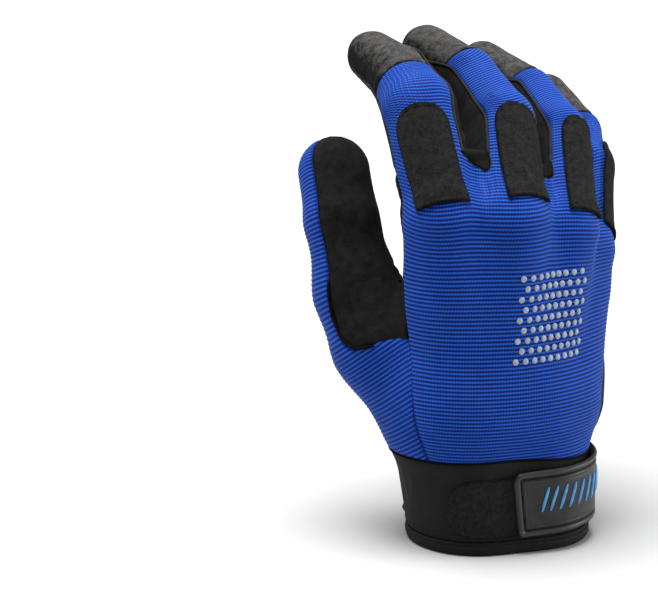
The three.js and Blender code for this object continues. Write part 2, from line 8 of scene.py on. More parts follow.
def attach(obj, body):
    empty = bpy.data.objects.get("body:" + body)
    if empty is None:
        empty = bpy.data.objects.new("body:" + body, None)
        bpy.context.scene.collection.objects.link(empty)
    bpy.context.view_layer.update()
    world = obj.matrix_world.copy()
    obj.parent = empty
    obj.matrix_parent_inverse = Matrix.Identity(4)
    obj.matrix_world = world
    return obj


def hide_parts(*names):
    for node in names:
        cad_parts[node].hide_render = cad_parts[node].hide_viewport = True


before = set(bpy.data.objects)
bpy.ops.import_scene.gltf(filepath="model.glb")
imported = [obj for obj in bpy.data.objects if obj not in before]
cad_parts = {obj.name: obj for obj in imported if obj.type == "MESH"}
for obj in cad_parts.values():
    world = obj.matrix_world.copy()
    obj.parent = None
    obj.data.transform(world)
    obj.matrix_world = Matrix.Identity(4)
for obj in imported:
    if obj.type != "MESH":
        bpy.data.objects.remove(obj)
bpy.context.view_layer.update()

# Camera
# The glove stands at the right of the picture, seen from the thumb's side of its back and from a
# little above. Directions are in the glove's frame: back of the hand to -Y, thumb to -X.
PICTURE_WIDTH, PICTURE_HEIGHT = 658, 600
PIXELS_PER_METRE_AT_ONE_METRE = 1787.5
CUFF_PIXEL = (497, 466)
CAMERA_DISTANCE = 0.650
FILM_WIDTH = 36
cuff_aim = Vector((0, 0, 0.024))
azimuth, elevation = math.radians(-22), math.radians(17)
towards_camera = Vector((
    math.sin(azimuth) * math.cos(elevation), -math.cos(azimuth) * math.cos(elevation), math.sin(elevation),
))
picture_right = Vector((math.cos(azimuth), math.sin(azimuth), 0))
picture_up = picture_right.cross(-towards_camera)
camera_data = bpy.data.cameras.new("camera")
camera_data.sensor_width = FILM_WIDTH
camera_data.lens = FILM_WIDTH * PIXELS_PER_METRE_AT_ONE_METRE / PICTURE_WIDTH
camera_data.clip_start, camera_data.clip_end = 0.05, 20
camera = bpy.data.objects.new("camera", camera_data)
bpy.context.scene.collection.objects.link(camera)
bpy.context.scene.camera = camera
camera.location = cuff_aim + towards_camera * CAMERA_DISTANCE
look = (
    -towards_camera
    + picture_right * (PICTURE_WIDTH / 2 - CUFF_PIXEL[0]) / PIXELS_PER_METRE_AT_ONE_METRE
    + picture_up * (CUFF_PIXEL[1] - PICTURE_HEIGHT / 2) / PIXELS_PER_METRE_AT_ONE_METRE
)
camera.rotation_mode = "QUATERNION"
camera.rotation_quaternion = look.to_track_quat("-Z", "Y")

# Back of the hand and of the four fingers
# One piece of blue stretch cloth, ribbed across, sewn to the palm side all round. Like every panel of
# the glove it lies on the hand inside, so the worn hand's form is worked out here, in millimetres.
JOINTS = {
    # finger: x, y, z and radius of the glove at each joint, from the knuckle to the fingertip
    "index": [
        (-22.5, -6, 118, 12.9), (-22.5, 19.5, 152.5, 12.8), (-22.5, 42, 162.5, 11), (-26, 63.5, 168.5, 9.3),
    ],
    "middle": [(-0.5, -10, 117, 12.9), (8.5, 22, 146.5, 12.6), (5, 46.5, 161, 11.1), (-3, 68, 170, 9.5)],
    "ring": [(22.5, -2, 112, 12.3), (33, 28, 141, 11.6), (31.5, 52, 153.5, 10.4), (22, 73.5, 163.5, 9.2)],
    "little": [(37, 13.5, 102, 11.2), (48.2, 37, 127, 10.3), (53.8, 55.5, 138, 9.4), (49.5, 73.5, 151, 8.4)],
    "thumb": [(-43.4, 26, 87, 14.2), (-46.6, 35, 112, 13.4), (-46.4, 45, 128, 13)],
}
# which way each knuckle faces, in degrees from the back of the hand towards the little finger
FACING = {"index": -22, "middle": 5, "ring": 28, "little": 58, "thumb": -112}
PALM_BONES = [
    # x, y, z and radius at the wrist's end, then at the knuckle's end
    [(-4, 1, -20, 23), (-13, 1, 50, 24.6)],
    [(12.5, 1, -20, 23), (11, 2, 50, 24.5)],
    [(-13, 0, 50, 22), (-22, -6, 116, 14)],
    [(-4, -1, 50, 23), (0.5, -10, 115.5, 14)],
    [(5, 1, 50, 23), (23, -2, 110, 13.4)],
    [(14, 4, 50, 20), (38, 13.5, 100, 12.4)],
    [(21.5, 9, 50, 22.2), (32.2, 16, 84, 15.9)],
    [(-22.5, 8, 47, 18), (-36.5, 18, 70, 17.2)],
    [(-36.5, 18, 70, 17.2), (-43.4, 26, 87, 14.2)],
]
# how widely parts of the hand melt together: the palm's own bones and the thumb, a finger with the
# palm, and the bones of one finger
PALM_MELT, FINGER_MELT, JOINT_MELT = 8, 4, 2
# how far outside a finger, and from the hand's middle line, a line starts on its way in to the surface
FINGER_REACH, HAND_REACH = 9, 75
KNUCKLE_HEIGHT = 110


def unit(v):
    return v / np.linalg.norm(v, axis=-1, keepdims=True)


def bone(start, end, facing):
    base, tip = np.array(start[:3], float), np.array(end[:3], float)
    along = unit(tip - base)
    turn = np.array(Vector((0, 0, 1)).rotation_difference(Vector(along)).to_matrix())
    back = turn @ np.array([math.sin(math.radians(facing)), -math.cos(math.radians(facing)), 0])
    return {
        "base": base, "tip": tip, "r0": start[3], "r1": end[3],
        "along": along, "back": back, "side": np.cross(along, back),
    }


chains = {
    name: [bone(joints[i], joints[i + 1], FACING[name]) for i in range(len(joints) - 1)]
    for name, joints in JOINTS.items()
}
palm_bones = [bone(start, end, 0) for start, end in PALM_BONES]


def off_bone(p, b):
    span = b["tip"] - b["base"]
    away = p - b["base"]
    t = np.clip(away @ span / (span @ span), 0, 1)
    return np.linalg.norm(away - t[..., None] * span, axis=-1) - (b["r0"] + (b["r1"] - b["r0"]) * t)


def melt(a, b, width):
    h = np.maximum(width - np.abs(a - b), 0) / width
    return np.minimum(a, b) - h * h * width / 4


def off_hand(p, who):
    """How far points are from the hand, counting the palm and the fingers named in who."""
    total = np.full(p.shape[:-1], 1e3)
    for b in palm_bones:
        total = melt(total, off_bone(p, b), PALM_MELT)
    for name in who:
        finger = np.full(p.shape[:-1], 1e3)
        for b in chains[name]:
            finger = melt(finger, off_bone(p, b), JOINT_MELT)
        total = melt(total, finger, PALM_MELT if name == "thumb" else FINGER_MELT)
    return total


def uphill(p, who):
    """The way out from the hand's surface at each point, and how far off the point is."""
    step = 0.05
    here = off_hand(p, who)
    return np.stack([(off_hand(p + step * axis, who) - here) / step for axis in np.eye(3)], -1), here


def settle(p, who, level=0.0):
    """Moves points straight onto the hand's surface, or to a level above it."""
    rounds, least_slope = 6, 0.2
    for _ in range(rounds):
        slope, here = uphill(p, who)
        p = p - slope * ((here - level) / np.maximum((slope ** 2).sum(-1), least_slope))[..., None]
    return p


def meet(centre, out, reach, who):
    """Comes in from outside along each line until it meets the surface."""
    steps, caution = 60, 0.9
    r = np.full(out.shape[:-1], float(reach))
    for _ in range(steps):
        r = r - off_hand(centre + out * r[..., None], who) * caution
    return centre + out * r[..., None]


def sweep(start, stop, s, first, second):
    """Directions that turn from start to stop degrees, counted from the first direction to the second."""
    turn = np.radians(start + (stop - start) * s)[..., None]
    return np.cos(turn) * first + np.sin(turn) * second


# Lines on the hand, each a function of shares 0..1 from one end to the other
def around(height, start, stop, who=("thumb",)):
    """Round the hand at a height; degrees from the back, 0, to the little finger's side, 90. The hand's
    middle line leans a little on its way up to the knuckles."""
    def line(s):
        degrees = start + (stop - start) * s
        z = height(degrees) if callable(height) else np.full_like(degrees, height)
        turn = np.radians(degrees)
        centre = np.stack([9 * z / KNUCKLE_HEIGHT, 1 - z / KNUCKLE_HEIGHT, z], -1)
        return meet(centre, np.stack([np.sin(turn), -np.cos(turn), 0 * turn], -1), HAND_REACH, who)
    return line


def across(finger, joint, t, start, stop):
    """Round a finger; degrees from its back, 0, to its side towards the little finger, 90."""
    b = chains[finger][joint]
    centre = b["base"] + (b["tip"] - b["base"]) * t
    reach = b["r0"] + (b["r1"] - b["r0"]) * t + FINGER_REACH
    return lambda s: meet(centre, sweep(start, stop, s, b["back"], b["side"]), reach, (finger,))


def over_tip(finger, lean, start, stop):
    """Over a fingertip; lean is -90 at its front, 0 straight ahead and 90 at its back."""
    b = chains[finger][-1]
    tilt = math.radians(lean)
    ahead = b["along"] * math.cos(tilt) + b["back"] * math.sin(tilt)
    return lambda s: meet(b["tip"], sweep(start, stop, s, ahead, b["side"]), b["r1"] + FINGER_REACH, (finger,))


def tip_ring(finger, lean, start, stop):
    """Round a fingertip, at an angle from straight ahead."""
    b = chains[finger][-1]
    tilt = math.radians(lean)
    def line(s):
        side = sweep(start, stop, s, b["back"], b["side"])
        out = b["along"] * math.cos(tilt) + side * math.sin(tilt)
        return meet(b["tip"], out, b["r1"] + FINGER_REACH, (finger,))
    return line


def first_point(line):
    """Where a line starts, or the one point of a line that starts and ends at the same degrees."""
    return line(np.zeros(1))[0]


def point_at(z, degrees, who=("thumb",)):
    return first_point(around(z, degrees, degrees, who))


def sloping(z_start, start, z_stop, stop):
    return around(lambda a: z_start + (z_stop - z_start) * (a - start) / (stop - start), start, stop)


def share_of(line, start, stop):
    return lambda s: line(start + (stop - start) * s)


def spline(lines, t):
    """Smooth curves through the rows of an array, at places t counted in rows."""
    k = np.clip(np.floor(t).astype(int), 0, len(lines) - 2)
    f = (t - k).reshape(-1, *[1] * (lines.ndim - 1))
    a, b, c, d = (lines[np.clip(k + i, 0, len(lines) - 1)] for i in (-1, 0, 1, 2))
    bend = 0.5 * (3 * b - a - 3 * c + d) * f ** 3
    return b + 0.5 * (c - a) * f + (a - 2.5 * b + 2 * c - 0.5 * d) * f ** 2 + bend


def run_length(points):
    return np.concatenate([[0], np.cumsum(np.linalg.norm(np.diff(points, axis=0), axis=-1))])


def through(points):
    """A smooth line through points, with equal shares of its length."""
    fine = spline(np.array(points), np.linspace(0, len(points) - 1, 200))
    run = run_length(fine)
    return lambda s: np.stack([np.interp(s * run[-1], run, fine[:, i]) for i in range(3)], -1)


def even_places(line, step):
    """Places along a row of points that cut it into even steps of about that size."""
    t = np.linspace(0, len(line) - 1, 500)
    run = run_length(spline(line, t))
    count = max(1, round(run[-1] / step))
    return np.interp(np.linspace(0, run[-1], count + 1), run, t)


def coarse_grid(curves, columns, who, steps):
    """A grid on the hand through curves, with that many columns and that many rows from curve to curve."""
    lines = np.array([curve(np.linspace(0, 1, columns + 1)) for curve in curves])
    places = np.concatenate([[0.0]] + [k + np.arange(1, n + 1) / n for k, n in enumerate(steps)])
    return settle(spline(lines, places), who)


def ease(grid, held, settle_grid, rounds):
    """Evens out the inner corners of a coarse grid over the hand; held corners stay on their seams."""
    for _ in range(rounds):
        middle = (np.roll(grid, 1, 0) + np.roll(grid, -1, 0) + np.roll(grid, 1, 1) + np.roll(grid, -1, 1)) / 4
        grid = np.where(held[..., None], grid, settle_grid(middle))
    return grid


def rim_held(shape):
    held = np.ones(shape[:2], bool)
    held[1:-1, 1:-1] = False
    return held


def fine_grid(grid, rows, columns):
    return spline(spline(grid, rows).swapaxes(0, 1), columns).swapaxes(0, 1)


# a flat pattern's numbers stay above zero
CLEAR_OF_ZERO = 100


class Panel:
    """A sheet of cloth on the hand, put together from grids of points that share corners."""

    def __init__(self):
        self.points, self.faces, self.flat = [], [], []

    def add(self, grid, flat=None):
        """Adds a grid's points; its flat pattern, if none is given, is its view from the back."""
        start = len(self.points)
        self.points.extend(grid.reshape(-1, 3))
        self.flat.extend((grid[..., [0, 2]] + CLEAR_OF_ZERO if flat is None else flat).reshape(-1, 2))
        return start + np.arange(grid.shape[0] * grid.shape[1]).reshape(grid.shape[:2])

    def join(self, numbers):
        a, b = numbers[:-1, :-1], numbers[:-1, 1:]
        c, d = numbers[1:, 1:], numbers[1:, :-1]
        self.faces.extend(np.stack([a, b, c, d], -1).reshape(-1, 4))

    def finish(self):
        self.points, self.flat, self.faces = np.array(self.points), np.array(self.flat), np.array(self.faces)
        self.out = corner_normals(self.points, self.faces)
        probe = self.faces[len(self.faces) // 2][0]
        slope, _ = uphill(self.points[probe][None], tuple(JOINTS))
        if self.out[probe] @ slope[0] < 0:
            self.faces = self.faces[:, ::-1]
            self.out = -self.out
        self.edge = nearest(self.points, self.points[rim_corners(self.faces)])[1]
        return self


def sheet_panel(grid):
    """A panel of one grid of points that already lie where they should."""
    panel = Panel()
    panel.join(panel.add(grid))
    return panel.finish()


def corner_normals(points, faces):
    a, b, c, d = (points[faces[:, i]] for i in range(4))
    face_out = np.cross(c - a, d - b)
    out = np.zeros_like(points)
    for i in range(4):
        np.add.at(out, faces[:, i], face_out)
    return out / np.maximum(np.linalg.norm(out, axis=1), 1e-9)[:, None]


def rim_corners(faces):
    edges = np.concatenate([faces[:, [i, (i + 1) % 4]] for i in range(4)])
    edges = np.sort(edges, axis=1)
    found, counts = np.unique(edges, axis=0, return_counts=True)
    return np.unique(found[counts == 1])


def nearest(points, targets):
    """For each point, which target is nearest and how far off it is."""
    tree = kdtree.KDTree(len(targets))
    for i, p in enumerate(targets):
        tree.insert(p, i)
    tree.balance()
    found = [tree.find(p) for p in points]
    return np.array([number for _, number, _ in found]), np.array([distance for _, _, distance in found])


def smooth_step(x, low, high):
    t = np.clip((x - low) / (high - low), 0, 1)
    return t * t * (3 - 2 * t)


def lumps(points, size, seed=0.0):
    """Soft unevenness from -1 to 1, size in millimetres."""
    return np.array([noise.noise(Vector(p) / size + Vector((seed, seed, seed))) for p in points])


def body_lumps(points):
    """The slow unevenness of the worn glove, which its outer layers share."""
    return 0.25 * lumps(points, 14)


def ridge(x, place, width):
    """A soft rise to 1 at a place, and back to 0 about a width to either side."""
    return np.exp(-((x - place) / width) ** 2)


def rounded(edge, width):
    """Rises from 0 at an edge to 1 in a quarter round of that width."""
    return np.sqrt(np.clip(edge / width, 0, 1))


def half_round(x, middle, half_width):
    return np.sqrt(np.clip(1 - ((x - middle) / half_width) ** 2, 0, 1))


def new_piece(name, points, faces):
    """A piece from points in millimetres. It alone is selected."""
    mesh = bpy.data.meshes.new(name)
    mesh.from_pydata((np.asarray(points) / 1000).tolist(), [], faces)
    piece = bpy.data.objects.new(name, mesh)
    bpy.context.scene.collection.objects.link(piece)
    bpy.ops.object.select_all(action="DESELECT")
    piece.select_set(True)
    bpy.context.view_layer.objects.active = piece
    return piece


def build(name, panel, height, thickness, **marks):
    """Makes a panel's mesh, with its flat pattern as UV and its distance from the seam and other marks as
    attributes, and gives it its thickness inwards."""
    piece = new_piece(name, panel.points + panel.out * height[:, None], panel.faces.tolist())
    mesh = piece.data
    uv = mesh.uv_layers.new(name="flat")
    corner = np.zeros(len(mesh.loops), np.int64)
    mesh.loops.foreach_get("vertex_index", corner)
    uv.data.foreach_set("uv", (panel.flat[corner] / 1000).astype(np.float32).ravel())
    for mark, values in {"seam": panel.edge, **marks}.items():
        mesh.attributes.new(mark, "FLOAT", "POINT").data.foreach_set("value", values.astype(np.float32))
    wall = piece.modifiers.new("wall", "SOLIDIFY")
    wall.thickness = thickness / 1000
    wall.offset = -1
    bpy.ops.object.modifier_apply(modifier=wall.name)
    bpy.ops.object.shade_smooth_by_angle(angle=math.radians(50))
    return piece


CLOTH_THICKNESS = 1.2
RIB_PITCH, THREAD_PITCH = 1.4, 1.05
# degrees round a finger at which the blue cloth ends and the cloth of its front begins
BACK_EDGE, FRONT_EDGE = 62, 112
# the same on the outer sides of the index and little fingers, where the two meet
INDEX_SIDE, LITTLE_SIDE = -82, 90
# heights of the cuff's top and of the vent's, and half the vent's width in degrees
CUFF_TOP, SLIT_TOP, SLIT_HALF = 33, 61, 9
# where the webs between the fingers lie along the first bones, and the height of the web's seam
WEB, WEB_SEAM = 0.46, 76
# how much of a row across the hand belongs to each finger, and to the gap between two
STRIP_SHARE, GAP_SHARE = 0.22, 0.04
STRIP_COLUMNS = 6


# Seams that run up the hand, in degrees at a height
def little_seam(z):
    return 106 + 11 * smooth_step(z, SLIT_TOP, 88)


def slit_half(z):
    share = np.clip((z - CUFF_TOP) / (SLIT_TOP - CUFF_TOP), 0, 1)
    return SLIT_HALF * np.sqrt(1 - share * share)


def thumb_seam(z):
    share = np.clip((z - CUFF_TOP) / 60, 0, 1)
    return -65 - 23 * share


def heel_seam(z):
    return 237 - 3 * np.clip((z - CUFF_TOP) / 53, 0, 1)


def cuff_top(degrees):
    turn = np.radians((np.asarray(degrees, float) + 180) % 360 - 180)
    over_back = np.sqrt(np.maximum(0, np.cos(turn / 1.3)))
    return CUFF_TOP + over_back * (1.6 * np.cos(turn) - 3 * ((1 + np.sin(turn)) / 2) ** 2)


def strip_settle(names):
    """A function that settles a grid of finger strips side by side, every strip on its own finger."""
    def apply(points, u=None):
        u = np.arange(points.shape[1]) if u is None else u
        out = np.zeros_like(points)
        for g, name in enumerate(names):
            first = STRIP_COLUMNS * g
            share = np.clip(1 - np.maximum(first - u, u - (first + STRIP_COLUMNS - 1)), 0, 1)
            use = share > 0
            out[:, use] += settle(points[:, use], ("thumb", name)) * share[use][None, :, None]
        return out
    return apply


def hand_strip(g, name, hand_lines, finger_lines, steps):
    """A finger's strip of a grid: its share of the lines across the hand, then the lines on the finger."""
    first = g * (STRIP_SHARE + GAP_SHARE)
    curves = [share_of(line, first, first + STRIP_SHARE) for line in hand_lines] + finger_lines
    return coarse_grid(curves, STRIP_COLUMNS - 1, ("thumb", name), steps)


def back_row(z_thumb, z_little):
    return sloping(z_thumb, thumb_seam(z_thumb), z_little, little_seam(z_little) - slit_half(z_little))


BACK_ROWS = [
    around(cuff_top, thumb_seam(CUFF_TOP), little_seam(CUFF_TOP) - slit_half(CUFF_TOP)),
    back_row(47, 47), back_row(WEB_SEAM, SLIT_TOP), back_row(86, 72), back_row(98, 81),
]
BACK_STRIPS = [
    # finger, degrees to its edge on the thumb's side, and on the other side
    ("index", INDEX_SIDE, BACK_EDGE),
    ("middle", -50, BACK_EDGE),
    ("ring", -BACK_EDGE, BACK_EDGE),
    ("little", -BACK_EDGE, LITTLE_SIDE),
]
# the bone, and the share of it, at which the fingertip's cap begins
CAP_SEAM = {"index": (1, 0.62), "middle": (2, 0.08), "ring": (2, 0.08), "little": (2, 0.08)}
BACK_STEPS = [1, 1, 1, 1, 3, 2, 2, 1, 3, 1]
# the grid's row at the webs, and the last one below the fingers
WEB_ROW, ROW_BELOW = 9, 4
strips = []
for g, (name, start, stop) in enumerate(BACK_STRIPS):
    near = start if start == INDEX_SIDE else start * 0.8
    far = stop if stop == LITTLE_SIDE else stop * 0.8
    joint, share = CAP_SEAM[name]
    strips.append(hand_strip(g, name, BACK_ROWS, [
        across(name, 0, 0.08, near, far), across(name, 0, WEB, start, stop), across(name, 0, 0.9, start, stop),
        across(name, 1, 0.12, start, stop), across(name, 1, 0.4 if joint == 1 else 0.85, start, stop),
        across(name, joint, share, start, stop),
    ], BACK_STEPS))
back_grid = np.concatenate(strips, axis=1)
settle_back = strip_settle([row[0] for row in BACK_STRIPS])


def spread_of(grid):
    """How far along its row of cloth each point lies."""
    return np.cumsum(np.linalg.norm(np.diff(grid, axis=1, prepend=grid[:, :1]), axis=-1), axis=1)


def rib_count(climb, pitch):
    """How many ribs lie below each point, from how far up the cloth it is and pitch(climb)."""
    t = np.linspace(0, climb.max(), 400)
    ribs = np.concatenate([[0], np.cumsum(np.diff(t) / pitch(t[1:]))])
    return np.interp(climb, t, ribs)


ACROSS_STEP = 4
ROW_STEP = 0.35
back = Panel()
u_all = np.arange(0, (4 * STRIP_COLUMNS - 1) * ACROSS_STEP + 1) / ACROSS_STEP
middle_columns = back_grid[:, 2 * STRIP_COLUMNS - 1:2 * STRIP_COLUMNS + 1].mean(1)
hand = settle_back(fine_grid(back_grid, even_places(middle_columns[:WEB_ROW + 1], ROW_STEP), u_all), u_all)
# the ribs follow the cloth straight up from the cuff, whichever way the seams lean
step = np.diff(hand, axis=0)
lean = smooth_step(hand[1:, :, 2:], 70, 115)
column_up = unit(middle_columns[WEB_ROW] - middle_columns[ROW_BELOW])
way_up = np.array([0, 0, 1.0]) * (1 - lean) + lean * column_up
out = unit(np.cross(step, unit(np.gradient(hand[1:], axis=1))))
way_up = unit(way_up - (way_up * out).sum(2)[..., None] * out)
climbed = np.concatenate([np.zeros((1, len(u_all))), np.cumsum((step * way_up).sum(2), 0)])
climb = hand[:1, :, 2] - hand[:1, :, 2].min() + climbed
hand_rows = RIB_PITCH * rib_count(climb, lambda x: 1.22 + 0.24 * smooth_step(x, 0, 45))
spread = spread_of(hand)
spread -= spread[:, [len(u_all) // 2]]
hand_flat = np.stack([spread, hand_rows], -1)
hand_numbers = back.add(hand, hand_flat)
back.join(hand_numbers)
for g, (name, _, _) in enumerate(BACK_STRIPS):
    strip = back_grid[:, STRIP_COLUMNS * g:STRIP_COLUMNS * (g + 1)]
    middle_line = strip[WEB_ROW:, 2:4].mean(1)
    places = even_places(middle_line, ROW_STEP)[1:]
    u = np.arange(0, (STRIP_COLUMNS - 1) * ACROSS_STEP + 1) / ACROSS_STEP
    finger = settle(fine_grid(strip, WEB_ROW + places, u), ("thumb", name))
    first = STRIP_COLUMNS * g * ACROSS_STEP
    columns = slice(first, first + len(u))
    climb = run_length(spline(middle_line, np.concatenate([[0], places])))[1:]
    finger_ribs = rib_count(climb, lambda x: 1.42 - 0.2 * smooth_step(x, 0, 25))
    rows = hand_rows[-1, columns] + RIB_PITCH * finger_ribs[:, None]
    spread = spread_of(finger) + hand_flat[-1, columns][0, 0]
    back.join(np.concatenate([hand_numbers[-1:, columns], back.add(finger, np.stack([spread, rows], -1))]))
back.finish()


def seam_dip(panel, depth=0.5, width=1.5):
    """How far a panel goes down towards the seam at its rim."""
    return -depth * (1 - smooth_step(panel.edge, 0, width))


def ribs(panel):
    wave = np.cos(2 * math.pi * panel.flat[:, 1] / RIB_PITCH)
    return 0.13 * wave * smooth_step(panel.edge, 0.2, 1.0)


def ribbed_piece(name, panel):
    height = seam_dip(panel) + ribs(panel) + body_lumps(panel.points)
    return build(name, panel, height, CLOTH_THICKNESS)


class Nodes:
    """Shader nodes of one material, wired by name. A socket's name has _ for each space in it."""

    def __init__(self, name):
        self.material = bpy.data.materials.new(name)
        self.material.use_nodes = True
        self.tree = self.material.node_tree
        self.shader = self.tree.nodes["Principled BSDF"]

    def wire(self, socket, value):
        if isinstance(value, bpy.types.NodeSocket):
            self.tree.links.new(value, socket)
        else:
            socket.default_value = value

    def add(self, kind, settings=None, **sockets):
        node = self.tree.nodes.new(kind)
        for key, value in (settings or {}).items():
            setattr(node, key, value)
        for key, value in sockets.items():
            self.wire(node.inputs[key.replace("_", " ")], value)
        return node

    def math(self, operation, *values):
        node = self.add("ShaderNodeMath", {"operation": operation})
        for socket, value in zip(node.inputs, values):
            self.wire(socket, value)
        return node.outputs[0]

    def mix_in(self, value, weight, rest):
        """The rest, and the value by its weight."""
        return self.math("MULTIPLY_ADD", value, weight, rest)

    def ramp(self, factor, stops):
        node = self.add("ShaderNodeValToRGB", Fac=factor)
        while len(node.color_ramp.elements) < len(stops):
            node.color_ramp.elements.new(0.5)
        for element, (place, colour) in zip(node.color_ramp.elements, stops):
            element.position = place
            element.color = (*colour, 1)
        return node.outputs[0]

    def grain(self, size, detail):
        """Noise of about that size in millimetres."""
        place = self.add("ShaderNodeTexCoord").outputs["Object"]
        node = self.add("ShaderNodeTexNoise", Vector=place, Scale=1000 / size, Detail=detail, Roughness=0.6)
        return node.outputs["Fac"]

    def mark(self, name):
        """One of the piece's own attributes."""
        return self.add("ShaderNodeAttribute", {"attribute_name": name}).outputs["Fac"]

    def seam_shade(self, width, depth):
        """Minus depth on the seam, 0 from a width in millimetres away from it."""
        away = self.mark("seam")
        return self.add("ShaderNodeMapRange", Value=away, From_Max=width, To_Min=-depth, To_Max=0.0).outputs[0]

    def flat_wave(self, axis, pitch):
        """Even waves from 0 to 1 along an axis of the flat pattern, pitch in millimetres."""
        flat = self.add("ShaderNodeUVMap", {"uv_map": "flat"}).outputs[0]
        place = self.add("ShaderNodeSeparateXYZ", Vector=flat).outputs[axis]
        turn = self.math("MULTIPLY", place, 2000 * math.pi / pitch)
        return self.math("MULTIPLY_ADD", self.math("COSINE", turn), 0.5, 0.5)

    def bump(self, height, strength, distance):
        """Distance is in millimetres."""
        node = self.add("ShaderNodeBump", Height=height, Strength=strength, Distance=distance / 1000)
        self.tree.links.new(node.outputs[0], self.shader.inputs["Normal"])

    def finish(self, **sockets):
        """Sets the shader's own sockets and hands over the material."""
        for key, value in sockets.items():
            self.wire(self.shader.inputs[key.replace("_", " ")], value)
        return self.material


def ribbed_cloth():
    """Blue stretch cloth: painted highlight on the ridges, painted shade in the grooves and along the seams,
    and fine threads across them.
    """
    m = Nodes("ribbed cloth")
    rib, threads = m.flat_wave("Y", RIB_PITCH), m.flat_wave("X", THREAD_PITCH)
    # the rib wave paints the ridges lighter as a painted highlight, and the grooves darker as painted shade
    shade = m.mix_in(rib, 0.64, m.mix_in(m.grain(11, 2), 0.14, m.seam_shade(1.1, 0.55)))
    shade = m.mix_in(m.math("MULTIPLY", threads, m.mix_in(rib, 0.7, 0.3)), 0.22, shade)
    m.bump(m.mix_in(threads, 0.35, rib), 0.5, 0.2)
    return m.finish(
        Base_Color=m.ramp(shade, [
            (0.05, (0.0003, 0.007, 0.10)), (0.35, (0.0012, 0.023, 0.18)),
            (0.65, (0.007, 0.051, 0.31)), (0.95, (0.028, 0.108, 0.50)),
        ]),
        Roughness=0.7, Specular_IOR_Level=0.08,
        Sheen_Weight=0.12, Sheen_Roughness=0.4, Sheen_Tint=(0.4, 0.58, 1.0, 1),
    )


blue_cloth = ribbed_cloth()


def dress(piece, material, slot, *nodes):
    piece.data.materials.clear()
    piece.data.materials.append(material)
    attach(piece, "root")
    if nodes:
        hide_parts(*nodes)


dress(ribbed_piece("back_panel_cloth", back), blue_cloth, "ribbed_cloth", "back_panel")

# Back of the thumb
# The same blue cloth, cut on its own and turned so that its ribs lie across the thumb. It runs from
# the cuff to the tip, and is sewn to the back panel down the side of the hand.
THUMB_HEEL, THUMB_EDGE = -62, 60
THUMB_SLOPES = [
    # height at the heel's seam, then height and degrees at the line's other end
    (50, 47, 360 + thumb_seam(47)), (58, WEB_SEAM, 360 + thumb_seam(WEB_SEAM)),
    (65, 71, 265), (71, 74, 260), (78, 79, 257), (84, 83, 256),
]


def thumb_rings(start, stop):
    """Lines round the thumb, from its root to its tip."""
    rings = [across("thumb", joint, t, start, stop) for joint, t in ((0, 0.25), (0, 0.85), (1, 0.1), (1, 0.95))]
    return rings + [tip_ring("thumb", lean, start, stop) for lean in (60, 30, 0.8)]


thumb_rows = [around(cuff_top, heel_seam(CUFF_TOP), 360 + thumb_seam(CUFF_TOP))]
thumb_rows += [sloping(z, heel_seam(z), z_stop, stop) for z, z_stop, stop in THUMB_SLOPES]
thumb_rows += thumb_rings(THUMB_HEEL, THUMB_EDGE)
thumb_grid = coarse_grid(thumb_rows, 8, ("thumb",), [2, 1, 1, 1, 1, 1, 1, 2, 1, 2, 1, 1, 1])
thumb_grid = ease(thumb_grid, rim_held(thumb_grid.shape), lambda p: settle(p, ("thumb",)), 6)


def plain_panel(grid, who, row_step, column_step):
    """A panel of one grid, with corners about a step apart; who is a finger list or a settling function."""
    panel = Panel()
    rows = even_places(grid[:, grid.shape[1] // 2], row_step)
    columns = even_places(grid[grid.shape[0] // 2], column_step)
    fine = fine_grid(grid, rows, columns)
    fine = who(fine, columns) if callable(who) else settle(fine, who)
    u, v = spread_of(fine), spread_of(fine.swapaxes(0, 1)).T
    panel.join(panel.add(fine, np.stack([u - u[:, [u.shape[1] // 2]], v], -1)))
    return panel.finish()


thumb_back = plain_panel(thumb_grid, ("thumb",), 0.33, 0.9)
THUMB_LINE = [(8, 2, 12), (-12, 8, 40), (-31, 18, 68), (-42, 26, 88), (-45.5, 34, 110), (-45, 46, 132)]
thumb_line = through(THUMB_LINE)(np.linspace(0, 1, 400))
on_line = nearest(thumb_back.points, thumb_line)[0]
ahead = unit(np.gradient(thumb_line, axis=0))
beyond = ((thumb_back.points - thumb_line[on_line]) * ahead[on_line]).sum(1)
# past the end of the line the ribs go round the thumb's tip, a ball about a joint that lies a little
# before that end
TIP_RADIUS, PAST_JOINT = 13, 4
round_tip = lambda x: TIP_RADIUS * np.arcsin(np.clip((x + PAST_JOINT) / TIP_RADIUS, -1, 1))
past_end = np.where(on_line == len(thumb_line) - 1, round_tip(beyond) - round_tip(0.0), beyond)
thumb_back.flat[:, 1] = run_length(thumb_line)[on_line] + past_end
dress(ribbed_piece("thumb_back_cloth", thumb_back), blue_cloth, "ribbed_cloth", "thumb_back")


